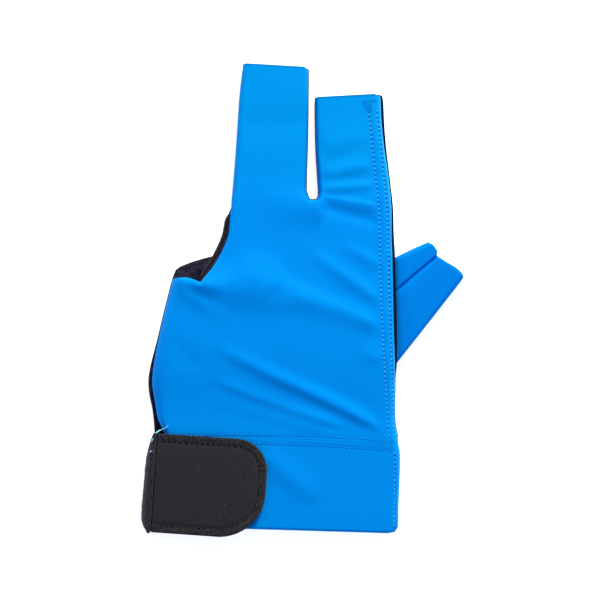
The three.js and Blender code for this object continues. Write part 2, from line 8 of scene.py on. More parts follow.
import bpy
import numpy as np
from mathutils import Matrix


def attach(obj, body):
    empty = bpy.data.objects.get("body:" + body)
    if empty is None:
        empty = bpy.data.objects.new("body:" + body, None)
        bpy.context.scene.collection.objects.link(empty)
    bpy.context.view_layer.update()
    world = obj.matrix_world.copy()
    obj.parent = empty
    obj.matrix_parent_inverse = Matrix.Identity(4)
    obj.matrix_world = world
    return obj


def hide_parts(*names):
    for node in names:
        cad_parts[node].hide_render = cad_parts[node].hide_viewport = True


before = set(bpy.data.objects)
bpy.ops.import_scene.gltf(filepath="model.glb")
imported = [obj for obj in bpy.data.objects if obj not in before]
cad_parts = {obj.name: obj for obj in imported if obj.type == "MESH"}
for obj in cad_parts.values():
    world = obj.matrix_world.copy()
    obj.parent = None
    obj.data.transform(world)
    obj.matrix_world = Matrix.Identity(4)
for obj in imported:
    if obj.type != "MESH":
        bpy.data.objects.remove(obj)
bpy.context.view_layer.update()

# %% [markdown]
# The pattern pieces of a glove are drawn from its wrist seam, so the tables below count from there: x from the middle
# of the slot between the fingers, y up from the wrist seam. One shift takes a point from there to the model's own
# frame. A table is a short list of rows, and a smooth curve goes through them, as a cutter draws a curve through
# marks on paper.

# %% Sizes of the glove and curves through tables
glove_shift = np.array([3.676, -54.689])
hand_length, hand_width = 94.3, 95.0
middle_length, index_length, cuff_length = 51.7, 39.9, 35.0
cloth_wall = 1.0
mm = 0.001


def along(rows, at):
    """A smooth curve through a table's rows."""
    knots, values = np.array(rows, float).T
    last = len(knots) - 1
    before = np.maximum(np.arange(last + 1) - 1, 0)
    after = np.minimum(np.arange(last + 1) + 1, last)
    slope = (values[after] - values[before]) / (knots[after] - knots[before])
    at = np.asarray(at, float)
    i = np.clip(np.searchsorted(knots, at, side="right") - 1, 0, last - 1)
    span = knots[i + 1] - knots[i]
    t = np.clip((at - knots[i]) / span, 0, 1)
    start = (1 - t) ** 2 * ((1 + 2 * t) * values[i] + t * slope[i] * span)
    return start + t**2 * ((3 - 2 * t) * values[i + 1] + (t - 1) * slope[i + 1] * span)


def ease(value, low, high):
    """0 below low, 1 above high and a smooth step between them."""
    t = np.clip((value - low) / (high - low), 0, 1)
    return t * t * (3 - 2 * t)


def bump(far, reach):
    """1 at a place and fading to 0 within about two reaches of it."""
    return np.exp(-((far / reach) ** 2))


# %% [markdown]
# The outline of a glove that lies flat is set by its side seams. Each table gives one side: "at" runs from -1 at the
# hem of the cuff over 0 at the wrist seam and 1 at the slot to 2 at the fingertips, and x is a share of the hand's
# width.

# %% Side lines of the cloth
little_side = [(-1, -0.605), (-0.002, -0.6097), (0.0106, -0.618), (0.0266, -0.6228), (0.0427, -0.631), (0.059, -0.637),
               (0.11, -0.645), (0.25, -0.66), (0.46, -0.625), (0.668, -0.576)]
heel_guide = [(-1, -0.4), (0, -0.4), (0.655, -0.458)]
opening_side = [(0.655, -0.458), (0.71, -0.413), (0.772, -0.376), (0.839, -0.347), (0.892, -0.34), (1, -0.333),
                (1.25, -0.321), (1.5, -0.311), (1.75, -0.3018), (1.9, -0.293), (2, -0.286)]
slot_middle_side = [(-1, -0.025), (0.98, -0.025), (1, -0.013), (1.02, -0.0175), (1.06, -0.0245), (1.1, -0.025),
                    (1.5, -0.019), (2, -0.016)]
slot_index_side = [(-1, 0.0255), (0.98, 0.0255), (1, 0.02), (1.04, 0.0245), (1.1, 0.0235), (1.5, 0.0135), (2, 0.01)]
thumb_side = [(-1, 0.34), (-0.95, 0.352), (-0.75, 0.354), (-0.12, 0.361), (0.03, 0.351), (0.09, 0.34), (0.25, 0.3395),
              (0.46, 0.3335), (0.67, 0.329), (0.85, 0.3256), (0.95, 0.3256), (1, 0.3225), (1.25, 0.311), (1.5, 0.295),
              (1.75, 0.2845), (2, 0.2796)]
# How far the palm stands inside the back's little-finger side and outside its thumb side.
little_lip = [(-1, 0.02), (0, 0.0349), (0.0106, 0.0275), (0.0266, 0.0247), (0.0427, 0.018), (0.059, 0.0135),
              (0.11, 0.013), (0.15, 0.015), (0.3, 0.01), (0.43, 0.002), (0.706, 0)]
thumb_lip = [(-1, 0), (0.27, 0), (0.33, 0.0065), (0.5, 0.0105), (0.65, 0.0098), (0.8, 0.0078), (1, 0.0032),
             (1.25, 0.0022), (1.5, 0.0055), (1.9, 0.0085), (2, 0.005)]
palm_opening_side = [(0.764, -0.398), (0.79, -0.392), (0.83, -0.378), (0.868, -0.366), (0.917, -0.357), (0.945, -0.34),
                     (1, -0.333)]
row_fall = [(-1, 0.03), (0, 0.05), (0.35, 0), (2, 0)]
loft_share = [(-1, 0.762), (-0.1, 0.762), (0.12, 0.84), (0.4, 1), (0.7, 0.97), (1, 0.78), (1.25, 0.69), (2, 0.64)]
palm_loft = 10.5


def place(x, at, finger_length):
    """Point of the glove at a station: x in mm, and at as the tables count it."""
    x, at = np.broadcast_arrays(np.asarray(x, float), np.asarray(at, float))
    y = np.where(at < 0, at * cuff_length, np.where(at <= 1, at * hand_length, hand_length + (at - 1) * finger_length))
    return np.stack([x, y - along(row_fall, at) * x], axis=-1)


def station_of(x, y):
    """The station that lies at a point, the reverse of place."""
    finger = 1 + (y - hand_length) / np.where(x < 0, middle_length, index_length)
    rough = np.where(y < 0, y / cuff_length, y / hand_length)
    level = y + along(row_fall, rough) * x
    return np.where(y > hand_length, finger, np.where(level < 0, level / cuff_length, level / hand_length))


def side_x(rows, at):
    """The x of a side line at a station, in mm."""
    return along(rows, at) * hand_width


def side(rows, shift=0.0):
    """The x of a side line as a function of the station, moved by a shift in mm."""
    return lambda at: side_x(rows, at) + shift


def palm_little_x(at):
    """The palm's side line on the little-finger side."""
    return side_x(little_side, at) - side_x(little_lip, at)


def palm_thumb_x(at):
    """The palm's side line on the thumb side."""
    return side_x(thumb_side, at) + side_x(thumb_lip, at)


def seam_line(x_of, start, end, finger_length, steps, slant=0.0):
    """A side seam as a chain of points. A fingertip is cut at a slant, which moves the seam's end up or down."""
    at = np.linspace(start, end, steps + 1)
    line = place(x_of(at), at, finger_length)
    line[:, 1] += slant / 2 * np.maximum(at - 1, 0) ** 2
    return line


def distance_to(line, x, y):
    """Distance from each point to a chain of points, how far along the chain its nearest place is, from 0 to 1, and on
    which side the point lies, 1 for the left."""
    a, b = line[:-1], line[1:]
    d = b - a
    length = np.hypot(d[:, 0], d[:, 1])
    start = np.concatenate([[0], np.cumsum(length)[:-1]])
    best = np.full(x.shape, 1e9)
    where = np.zeros(x.shape)
    left = np.ones(x.shape)
    for k in range(len(a)):
        t = np.clip(((x - a[k, 0]) * d[k, 0] + (y - a[k, 1]) * d[k, 1]) / length[k] ** 2, 0, 1)
        off_x, off_y = x - a[k, 0] - t * d[k, 0], y - a[k, 1] - t * d[k, 1]
        far = np.hypot(off_x, off_y)
        near = far < best
        best = np.where(near, far, best)
        where = np.where(near, (start[k] + t * length[k]) / length.sum(), where)
        left = np.where(near, np.sign(d[k, 0] * off_y - d[k, 1] * off_x + 1e-12), left)
    return best, where, left


def nearest(lines, x, y):
    """Distance from each point to the nearest of several chains."""
    return np.min([distance_to(line, x, y)[0] for line in lines], axis=0)


slot_corner = 0.5  # how far the bottom of the slot sags between its corners
middle_slant, index_slant = 1.5, -1.4  # how much higher a fingertip's left end is than its right one
heel_arch = 1.2
opening_low, heel_top_at = 0.655, little_side[-1][0]
bottom_cells = 10
across = np.linspace(0, 1, bottom_cells + 1)
slot_lines = [
    seam_line(side(slot_middle_side), 1, 2, middle_length, 50, -middle_slant),
    np.column_stack([np.linspace(side_x(slot_middle_side, 1), side_x(slot_index_side, 1), bottom_cells + 1),
                     hand_length - slot_corner * np.sin(np.pi * across) ** 0.5]),
    seam_line(side(slot_index_side), 1, 2, index_length, 40, index_slant),
]
little_seam = seam_line(side(little_side), -0.1, heel_top_at, middle_length, 110)
finger_seam = seam_line(side(opening_side), 0.946, 2, middle_length, 70, middle_slant)
opening_edge = seam_line(side(opening_side), opening_low, 0.94, middle_length, 24)
across = np.linspace(0, 1, 12)
heel_edge = place(side_x([(0, little_side[-1][1]), (1, opening_side[0][1])], across),
                  heel_top_at + (opening_low - heel_top_at) * across, middle_length)
heel_edge[:, 1] += heel_arch * np.sin(np.pi * across)
thumb_seam = seam_line(side(thumb_side), -1, 2, index_length, 240, -index_slant)
print("side seams:", len(little_seam) + len(finger_seam) + len(thumb_seam), "points")

# %% [markdown]
# Stretch cloth that is sewn at the sides and lies loose over an empty hand makes soft folds, and these run from the
# little-finger side down to the thumb side of the wrist. A fold could be sculpted or simulated. Here each is a ridge
# along a short line, with its own height and with a steeper side, so that it stays where it belongs and can be tuned by
# one number.

# %% Folds of the back
# Each fold: points of its crest, reach uphill and downhill of it, and height at its start, middle and end. The last is
# the cuff's.
folds = [
    ([(-43.3, 39.2), (-34.0, 34.5), (-24.6, 29.9), (-15.3, 25.2), (-5.9, 20.9), (3.6, 16.6), (12.9, 12.1), (22.0, 7.2),
      (31.1, 2.1)], 2.9, 2.7, (0.23, 1.15, 1.28)),
    ([(-42.2, 25.3), (-30.8, 20.6), (-19.4, 16.0), (-7.9, 11.8), (3.7, 8.0), (15.3, 4.2)],
     2.5, 2.0, (0.41, 0.48, 0.63)),
    ([(-46.0, 19.5), (-36.0, 15.2), (-25.0, 11.8), (-13.0, 8.4), (-1.0, 5.2), (11.0, 2.6)],
     3.0, 2.4, (0.05, 0.18, 0.30)),
    ([(-50.7, 63.5), (-40.9, 61.4), (-31.2, 59.3), (-21.4, 57.2), (-11.6, 55.2), (-1.8, 53.3)],
     6.5, 6.5, (1.65, 1.80, 0.72)),
    ([(-18.6, 64.3), (-6.4, 58.7), (5.9, 53.2), (18.2, 47.7), (30.5, 42.0)], 3.1, 4.1, (0.57, 1.04, 0.89)),
    ([(-56.6, 62.5), (-47.4, 61.3), (-38.3, 60.0), (-29.2, 58.8)], 3.0, 3.4, (1.50, 1.25, -0.60)),
    ([(-54.3, 59.6), (-45.8, 54.5), (-37.3, 49.5), (-28.9, 44.4)], 2.6, 2.9, (0.91, 0.39, -0.04)),
    ([(-3.5, 75.4), (7.6, 67.7), (18.7, 59.9), (29.7, 51.9)], 2.5, 3.2, (0.12, 0.84, 0.73)),
    ([(10.0, 77.3), (19.2, 72.1), (28.4, 66.8)], 2.2, 2.8, (0.07, 0.55, 0.67)),
    ([(7.2, 37.6), (14.4, 35.4), (21.6, 33.3), (28.8, 31.0)], 3.6, 2.5, (-0.10, 0.06, 0.92)),
    ([(-35.3, 70.3), (-22.2, 65.0), (-9.1, 59.8)], 6.5, 5.9, (-0.80, 1.63, 0.37)),
    ([(2.2, 97.8), (10.0, 98.5), (17.8, 99.1), (25.7, 99.7)], 1.8, 2.2, (0.61, 0.79, 0.42)),
    ([(1.0, 94.8), (9.7, 93.6), (18.4, 92.3), (27.0, 91.0)], 1.3, 3.4, (0.16, 0.69, 0.85)),
    ([(1.0, 91.7), (15.0, 87.6), (29.1, 83.5)], 3.2, 2.4, (-0.74, -0.57, -0.71)),
    ([(2.4, 103.2), (13.5, 105.5), (24.5, 107.8)], 3.4, 2.8, (0.55, 0.84, 0.50)),
    ([(3.0, 113.0), (13.1, 116.5), (23.2, 119.9)], 6.0, 3.6, (0.46, 0.58, 0.19)),
    ([(-22.5, 92.7), (-12.6, 91.7), (-2.7, 90.7), (7.2, 89.7)], 6.5, 6.5, (0.07, 0.84, 1.90)),
    ([(-29.0, 121.9), (-14.3, 123.6), (0.5, 125.2)], 6.5, 6.5, (-0.58, -0.39, -0.52)),
    ([(-57.5, 41.1), (-50.5, 34.0), (-43.4, 26.9)], 4.0, 4.5, (0.00, -0.40, -0.20)),
    ([(-10.5, 57.1), (2.9, 50.4), (16.3, 43.7), (29.7, 36.9)], 3.5, 5.0, (1.19, 0.17, -0.27)),
    ([(-13.5, 79.9), (-3.2, 75.2), (7.1, 70.6)], 4.7, 3.8, (-0.05, 0.13, -0.10)),
    ([(-20.5, -4.0), (-11.5, -11.7), (-4.9, -17.2), (4.5, -24.5)], 4.6, 4.2, (0.6, 0.8, 0.4)),
]


def smooth_line(points, steps=14):
    """A smooth curve through a few points, as a chain of short steps."""
    points = np.array(points, float)
    at = np.linspace(0, 1, steps + 1)
    knots = np.linspace(0, 1, len(points))
    return np.column_stack([along(list(zip(knots, column)), at) for column in points.T])


crests = [smooth_line(fold[0]) for fold in folds]


def fold_height(x, y):
    """Sum of all folds at a point. Each fades in and out along its crest and narrows towards its end."""
    total = np.zeros(x.shape)
    for crest, (_, uphill, downhill, heights) in zip(crests, folds):
        far, where, left = distance_to(crest, x, y)
        reach = np.where(left > 0, uphill, downhill) * (1 - 0.35 * ease(where, 0.7, 1))
        height = along(list(zip((0, 0.5, 1), heights)), where) * ease(where, 0, 0.2) * ease(1 - where, 0, 0.2)
        total += height * bump(far, reach)
    return total


thumb_low, thumb_high = 0.312, 0.754
seam_rise, thumb_neck = 1.2, 6.4


def thumb_lift(x, y):
    """1 at the side seam where the thumb sleeve passes under it, 0 away from there."""
    fade = 0.09 * hand_length
    low, high = thumb_low * hand_length, thumb_high * hand_length
    beside = ease(y, low - fade, low - 0.3) * (1 - ease(y, high + 0.3, high + fade))
    return beside * ease(x, 0, 0.15 * hand_width)


def seam_z(x, y):
    """Height of the side seams: low on the table, and over the thumb sleeve beside it."""
    return seam_rise + (thumb_neck + 0.3 - seam_rise) * thumb_lift(x, y)


# %% [markdown]
# Two needles sew the side of the index finger and the wrist at once, so their stitches run in two rows 3.2 mm apart.
# The thread pulls the cloth into a shallow groove. The rows are lines on the cloth, and both the groove and, later,
# the stitches follow them.

# %% Lines that the needles follow
index_outer_row = np.array([(25.0, 128.3), (26.2, 117.1), (27.5, 104.5), (28.9, 90.9), (29.4, 73.7), (29.7, 60.8),
                            (30.2, 45), (30.7, 31.2), (31.1, 16), (31.3, 7.8), (32.0, 1.4)])
index_inner_row = np.array([(22.0, 126.8), (23.0, 117.4), (24.5, 103.4), (26.0, 88.5), (26.1, 73.7), (26.9, 51.1),
                            (27.7, 33.5), (28.6, 18), (29.3, 7.8), (29.9, 1.6)])
wrist_upper_row = np.array([(-49, 1.75), (-35, 2.0), (-16.6, 1.95), (-0.6, 1.7), (10.7, 1.0), (22, 0.35), (31.5, -0.4)])
wrist_lower_row = np.array([(-49, -1.4), (-35, -1.35), (-16.6, -1.5), (3.3, -2.2), (16.2, -3.0), (24.4, -3.7),
                            (31.0, -4.2)])
cuff_edge_row = np.array([(31.8, -5.0), (32.1, -12), (31.9, -22), (31.8, -33.6)])
needle_rows = [index_outer_row, index_inner_row, wrist_upper_row, wrist_lower_row, cuff_edge_row]
groove_depths, groove_reach = [0.24, 0.24, 0.1, 0.1, 0.2], 0.55


def groove(x, y):
    """Depth of the furrow that the thread pulls into the cloth."""
    depth = np.zeros(x.shape)
    for row, deepest in zip(needle_rows, groove_depths):
        depth = np.maximum(depth, deepest * bump(distance_to(row, x, y)[0], groove_reach))
    return depth


# How far from the little-finger seam the cloth takes to turn up to its full height, and the same for the other seams.
little_turn = [(-1, 1.8), (0, 2), (0.1, 3.6), (0.25, 6.5), (0.8, 6.5), (2, 4)]
slot_turn, thumb_turn = 1.5, 3.0
seam_gap = 0.3


def roof_z(x, y):
    """Top of the upper cloth: it rises from the side seams to the loft between them."""
    x, y = np.asarray(x, float), np.asarray(y, float)
    at = station_of(x, y)
    thumb_far = distance_to(thumb_seam, x, y)[0]
    turns = [(nearest(slot_lines, x, y), slot_turn), (distance_to(little_seam, x, y)[0], along(little_turn, at)),
             (distance_to(finger_seam, x, y)[0], 0.8 + 0.9 * ease(at, 0.93, 1.06)), (thumb_far, thumb_turn)]
    share = np.ones(x.shape)
    for far, run in turns:
        share = share * np.sqrt(1 - (1 - np.clip(far / run, 0, 1)) ** 2)
    edge = seam_z(x, y) + cloth_wall + seam_gap
    roll = 0.6 * (1 - np.clip(nearest([opening_edge, heel_edge], x, y) / 1.6, 0, 1)) ** 2
    calm = 1 - 0.75 * (1 - ease(thumb_far, 4.5, 9))
    swell = fold_height(x, y) * calm
    return edge + (along(loft_share, at) * palm_loft - edge + swell) * share - groove(x, y) - roll


# %% [markdown]
# A sheet of cloth is a net of four-sided faces. The hand's net is four strips side by side: the heel, which stops at
# the opening for the ring and little finger, the middle finger, the slot and the index finger. Rows and columns lie
# closer together where the cloth turns. A second skin one cloth thickness inside, and a rounded rim between the two,
# close it, which looks more like cloth at the open ends than a bare sheet would.


# %% Nets and cloth shells
def columns_between(low, high, low_insets, cells, high_insets):
    """Places of a row's points: close together at both ends and evenly spaced between them."""
    middle = np.linspace(low + low_insets[-1], high - high_insets[-1], cells + 1)[1:-1]
    return np.concatenate([low + np.array(low_insets), middle, (high - np.array(high_insets))[::-1]])


def net_quads(rows, columns, closed=False):
    """Faces of a net whose points come row by row. closed joins the last column to the first."""
    cells = columns if closed else columns - 1
    r, c = np.meshgrid(np.arange(rows - 1), np.arange(cells), indexing="ij")
    n, up = (c + 1) % columns, (r + 1) * columns
    return np.stack([r * columns + c, r * columns + n, up + n, up + c], axis=-1).reshape(-1, 4)


def hand_net(strips, stations, heel_stations, heel_top, slot_top, height_of, slants, arch=heel_arch, hole=None):
    """Points and faces of a panel of the hand. Each strip has its top row, its left and right line and its columns.
    hole(strip, row, cells from the thumb side) leaves a face out."""
    last = len(stations) - 1
    number, points, quads, first = {}, [], [], 0
    for s, (top, low_of, high_of, low_insets, cells, high_insets) in enumerate(strips):
        finger_length = middle_length if s < 2 else index_length
        for r in range(top + 1):
            corner_at = stations[r]
            low_at = heel_stations[r] if s == 0 else corner_at
            low, high = float(low_of(low_at)), float(high_of(corner_at))
            xs = columns_between(low, high, low_insets, cells, high_insets)
            u = (xs - low) / (high - low)
            p = place(xs, low_at + (corner_at - low_at) * u, finger_length)
            if s == 0:
                p[:, 1] += arch * np.sin(np.pi * u) * (r / heel_top) ** 12
            if s == 2:
                p[:, 1] -= slot_corner * np.sin(np.pi * u) ** 0.5 * float(ease(corner_at, 0.955, 1))
            if r > slot_top:
                p[:, 1] += slants[s] * (0.5 - u) * ((r - slot_top) / (last - slot_top)) ** 2
            for c, q in enumerate(p):
                key = (r, first + c)
                if key not in number:
                    number[key] = len(points)
                    points.append(q)
        count = len(xs)
        for r in range(top):
            for c in range(first, first + count - 1):
                if hole and hole(s, r, first + count - 2 - c):
                    continue
                quads.append([number[r, c], number[r, c + 1], number[r + 1, c + 1], number[r + 1, c]])
        first += count - 1
    points, quads = np.array(points), np.array(quads)
    used = np.unique(quads)
    new = np.zeros(len(points), int)
    new[used] = np.arange(len(used))
    points = points[used]
    return np.column_stack([points, height_of(points[:, 0], points[:, 1])]), new[quads]


def shell(points, quads, wall, round_rim=0.3):
    """A closed wall from a sheet whose faces point outwards. Its free edges get a rim that stands out a little."""
    normals = np.zeros_like(points)
    face = np.cross(points[quads[:, 2]] - points[quads[:, 0]], points[quads[:, 3]] - points[quads[:, 1]])
    for k in range(4):
        np.add.at(normals, quads[:, k], face)
    normals /= np.linalg.norm(normals, axis=1)[:, None]
    count = len(points)
    inner = points - normals * wall
    a = quads.reshape(-1)
    b = np.roll(quads, -1, axis=1).reshape(-1)
    free = ~np.isin(b * count + a, a * count + b)
    a, b = a[free], b[free]
    out = np.zeros_like(points)
    edge = points[b] - points[a]
    edge /= np.linalg.norm(edge, axis=1)[:, None]
    for end in (a, b):
        np.add.at(out, end, np.cross(edge, normals[end]))
    rim = np.unique(np.concatenate([a, b]))
    out = out[rim] / np.linalg.norm(out[rim], axis=1)[:, None]
    ring = (points[rim] + inner[rim]) / 2 + out * wall * round_rim
    place_of = np.zeros(count, int)
    place_of[rim] = 2 * count + np.arange(len(rim))
    faces = [quads, quads[:, ::-1] + count]
    faces.append(np.column_stack([b, a, place_of[a], place_of[b]]))
    faces.append(np.column_stack([place_of[b], place_of[a], a + count, b + count]))
    return np.vstack([points, inner, ring]), np.vstack(faces)


def to_model(points):
    """Points in the glove's own millimetres as metres in the model's frame."""
    return (np.asarray(points) + [*glove_shift, 0]) * mm


def make_piece(name, points, faces, slot, node_names, material, **marks):
    """A mesh object in the model's frame that stands for these CAD nodes. Marks are numbers on its points, from
    x and y."""
    points = np.asarray(points)
    mesh = bpy.data.meshes.new(name)
    mesh.from_pydata(to_model(points).tolist(), [], [[int(i) for i in face] for face in faces])
    mesh.polygons.foreach_set("use_smooth", np.ones(len(mesh.polygons), bool))
    mesh.update()
    for mark, value_of in marks.items():
        values = value_of(points[:, 0], points[:, 1]).astype(np.float32)
        mesh.attributes.new(mark, "FLOAT", "POINT").data.foreach_set("value", values)
    mesh.materials.append(material)
    piece = bpy.data.objects.new(name, mesh)
    bpy.context.scene.collection.objects.link(piece)
    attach(piece, "root")
    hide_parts(*node_names)
    layer = sum(face.area for face in mesh.polygons) / 2
    print(f"{name}: {len(mesh.vertices)} points, {len(mesh.polygons)} faces, {1e4 * layer:.1f} cm2 of cloth")
    return piece


# %% [markdown]
# Shader maths reads best as plain sums, so a small class wraps a socket: 1 - mask adds a Math node by itself. Any other
# node comes from its one method, which takes the node's type, its settings and what goes into its sockets.


# %% Sums with sockets
class Wire:
    """A socket that can be added, multiplied and compared, and that makes the nodes of its own tree."""

    def __init__(self, tree, socket=None):
        self.tree, self.socket = tree, socket

    def make(self, kind, settings=None, out=0, **inputs):
        """A new node. Inputs go by name, or as in0, in1 and so on by number."""
        node = self.tree.nodes.new(kind)
        for key, value in (settings or {}).items():
            setattr(node, key, value)
        for key, value in inputs.items():
            numbered = key.startswith("in") and key[2:].isdigit()
            socket = node.inputs[int(key[2:]) if numbered else key.replace("_", " ")]
            if isinstance(value, Wire):
                self.tree.links.new(value.socket, socket)
            else:
                socket.default_value = value
        return Wire(self.tree, node.outputs[out])

    def other(self, out):
        """Another output of the node that this wire comes from."""
        return Wire(self.tree, self.socket.node.outputs[out])

    def math(self, operation, *values):
        return self.make("ShaderNodeMath", {"operation": operation}, **{f"in{i}": v for i, v in enumerate(values)})

    def __add__(self, other):
        return self.math("ADD", self, other)

    __radd__ = __add__

    def __mul__(self, other):
        return self.math("MULTIPLY", self, other)

    __rmul__ = __mul__

    def __sub__(self, other):
        return self.math("SUBTRACT", self, other)

    def __rsub__(self, other):
        return self.math("SUBTRACT", other, self)

    def __gt__(self, other):
        return self.math("GREATER_THAN", self, other)


def new_material(name):
    """An empty material and a wire to build in it."""
    material = bpy.data.materials.new(name)
    material.use_nodes = True
    material.node_tree.nodes.clear()
    return material, Wire(material.node_tree)


def finish_material(wire, colour, rough, normal, **constants):
    """The shader and the output. What varies is linked, and constants sit on the shader's own sockets."""
    shader = wire.tree.nodes.new("ShaderNodeBsdfPrincipled")
    for socket, value in [("Base Color", colour), ("Roughness", rough), ("Normal", normal)]:
        if isinstance(value, Wire):
            wire.tree.links.new(value.socket, shader.inputs[socket])
        elif value is not None:
            shader.inputs[socket].default_value = value
    for key, value in constants.items():
        shader.inputs[key.replace("_", " ")].default_value = value
    output = wire.tree.nodes.new("ShaderNodeOutputMaterial")
    wire.tree.links.new(shader.outputs[0], output.inputs["Surface"])


def xyz(wire, turn=0.0):
    """Object coordinates in mm, turned about Z."""
    metres = wire.make("ShaderNodeTexCoord", out="Object")
    return wire.make("ShaderNodeMapping", Vector=metres, Rotation=(0, 0, turn), Scale=(1000, 1000, 1000))


def noise(wire, vector, scale, detail=2.0, rough=0.5):
    return wire.make("ShaderNodeTexNoise", Vector=vector, Scale=scale, Detail=detail, Roughness=rough)


def mix_colour(wire, factor, a, b):
    return wire.make("ShaderNodeMix", {"data_type": "RGBA"}, out=2, in0=factor, in6=a, in7=b)


# %% [markdown]
# The blue is a smooth stretch knit with a faint sheen. Under a lens it is rows of small loops, half a millimetre apart,
# that a bump of two crossed waves shows well. Dye never takes quite evenly, so a broad, weak noise shifts the blue.


# %% Blue stretch cloth
def stretch_knit(name, deep, bright, turn=0.0, pitch=0.55, rough=0.62, sheen=0.05, sheen_tint=(0.0, 0.5, 1, 1),
                 painted_light_bands=(), marks=(), crinkle=0.0):
    """Bands: a colour and the two places along the hand, in mm, between which it takes over; they are painted light and
    shade, lighter or darker blue by height along the hand. marks: attribute and its colour. crinkle roughens cloth that
    isn't stretched flat, and paints a highlight on its wrinkles."""
    material, wire = new_material(name)
    p = xyz(wire, turn)
    x = wire.make("ShaderNodeSeparateXYZ", Vector=p)
    y = x.other(1)
    wale = wire.math("SINE", x * (2 * math.pi / pitch))
    loop = wire.math("SINE", y * (2 * math.pi / (0.8 * pitch)) + wale * 0.8)
    grain = noise(wire, p, 1.6, 2.0)
    soft = noise(wire, p, 0.16, 2.0)
    if crinkle:
        wrinkle = noise(wire, p, 0.42, 3.0, 0.55)
        # Painted highlight: the wrinkle noise that also raises the bump lightens the colour where it is high, so the
        # wrinkle tops look lit; the grain adds random tone.
        shade = (wrinkle - 0.5) * 1.5 * crinkle + (grain - 0.5) * 0.9 + 0.3
        soft = soft + 3.0 * crinkle * wrinkle
    else:
        shade = noise(wire, p, 0.045, 3.0) * 0.75 + grain * 0.25
    colour = mix_colour(wire, shade, (*deep, 1), (*bright, 1))
    # The bands are painted light and shade along the hand.
    for tone, low, high in painted_light_bands:
        into = wire.make("ShaderNodeMapRange", Value=y, From_Min=low, From_Max=high)
        colour = mix_colour(wire, into, colour, (*tone, 1))
    for mark, tone in marks:
        edge = wire.make("ShaderNodeAttribute", {"attribute_name": mark}, out="Fac")
        colour = mix_colour(wire, edge, colour, (*tone, 1))
    knit = wire.make("ShaderNodeBump", Strength=0.3, Distance=0.00002, Height=wale * 0.5 + loop * 0.5)
    normal = wire.make("ShaderNodeBump", Strength=0.25 + 0.5 * crinkle, Distance=0.0003, Height=soft, Normal=knit)
    finish_material(wire, colour, rough + 0.08 * (grain - 0.5), normal, Specular_IOR_Level=0.012,
                    Sheen_Weight=sheen, Sheen_Roughness=0.45, Sheen_Tint=sheen_tint)
    return material


# Painted highlight and shade: a lighter blue where the cloth rolls over the thumb-side seam, and a dark blue at the cut
# ends of the fingers and along the slot.
painted_seam_highlight, painted_cut_shade = (0.03, 0.42, 0.83), (0.0, 0.06, 0.22)
# The blue's bands are painted light and shade: darker from above the middle of the hand up, less blue on the fingers,
# lighter just above the wrist seam and the plain blue again on the cuff.
blue_knit = stretch_knit(
    "blue_knit", (0.0, 0.216, 0.765), (0.0, 0.266, 0.845), marks=[("rim", painted_seam_highlight), ("cut", painted_cut_shade)],
    painted_light_bands=[((0.0, 0.214, 0.74), 0, 25), ((0.0, 0.24, 0.715), 36, 58), ((0.0, 0.262, 0.85), -39, -48),
           ((0.0, 0.241, 0.805), -54.5, -57)])
# Painted shade: the thumb's blue is a darker copy of the back's blue cloth, so the thumb looks shaded.
shaded_thumb_knit = stretch_knit("shaded_thumb_knit", (0.0, 0.172, 0.68), (0.0, 0.207, 0.75), turn=math.radians(-45.7))
# The palm's black is crinkled, with a painted highlight on its wrinkles as well as their bump.
black_knit = stretch_knit("black_knit", (0.006, 0.006, 0.014), (0.056, 0.05, 0.098), pitch=0.7, rough=0.8, sheen=0.04,
                          sheen_tint=(0.8, 0.75, 0.9, 1), marks=[("rim", (0.0, 0.008, 0.035))], crinkle=1.0)
print("materials:", len(bpy.data.materials))

# %% [markdown]
# The back is the piece that the eye falls on. A glove's back is cut in one piece with the upper sides of its fingers,
# so it is one net over the hand and along both fingers. Marks on its points paint a lighter blue as a highlight where
# it rolls over the thumb-side seam, and a dark blue as shade along its cut fingertip ends and the slot.

# %% Back of the glove
def stations_to_tips(below, upper_rows, finger_rows):
    """Stations of all rows: the given ones, then rows that close up towards the slot, then those of the fingers."""
    rise = np.arange(1, upper_rows + 1) / upper_rows
    upper = below[-1] + (1 - below[-1]) * (rise + np.sin(np.pi / 2 * rise)) / 2
    return np.concatenate([below, upper, 1 + np.arange(1, finger_rows + 1) / finger_rows])


def back_guide(at):
    """Where the back's heel meets its middle finger strip, and above the heel the edge of the opening."""
    return side_x(opening_side if at >= opening_low else heel_guide, at)


heel_rows, upper_rows, finger_rows = 112, 58, 88
start_at = -0.95 / cuff_length
stations = stations_to_tips(np.linspace(start_at, opening_low, heel_rows + 1), upper_rows, finger_rows)
heel_stations = np.linspace(start_at, heel_top_at, heel_rows + 1)
side_insets = [0, 0.07, 0.25, 0.55, 1.0, 1.6, 2.3, 3.1]
seam_insets = [0, 0.07, 0.25, 0.55, 0.95, 1.35, 1.7, 2.0, 2.3, 2.65, 3.1, 3.6, 4.1, 4.5, 4.9, 5.25, 5.6, 6.1, 6.8]
slants = [0, middle_slant, 0, index_slant]
slot_top, top_row = heel_rows + upper_rows, heel_rows + upper_rows + finger_rows
back_strips = [
    (heel_rows, side(little_side), back_guide, side_insets, 24, [0]),
    (top_row, back_guide, side(slot_middle_side), side_insets, 34, side_insets),
    (slot_top, side(slot_middle_side), side(slot_index_side), [0], bottom_cells, [0]),
    (top_row, side(slot_index_side), side(thumb_side), side_insets, 24, seam_insets),
]
back_points, back_quads = hand_net(back_strips, stations, heel_stations, heel_rows, slot_top, roof_z, slants)
tips = [np.array([finger_seam[-1], slot_lines[0][-1]]), np.array([slot_lines[2][-1], thumb_seam[-1]])]


def above_wrist(x, y):
    """Distance above the wrist seam in mm."""
    at = station_of(x, y)
    return np.where(at < 0, at * cuff_length, at * hand_length)


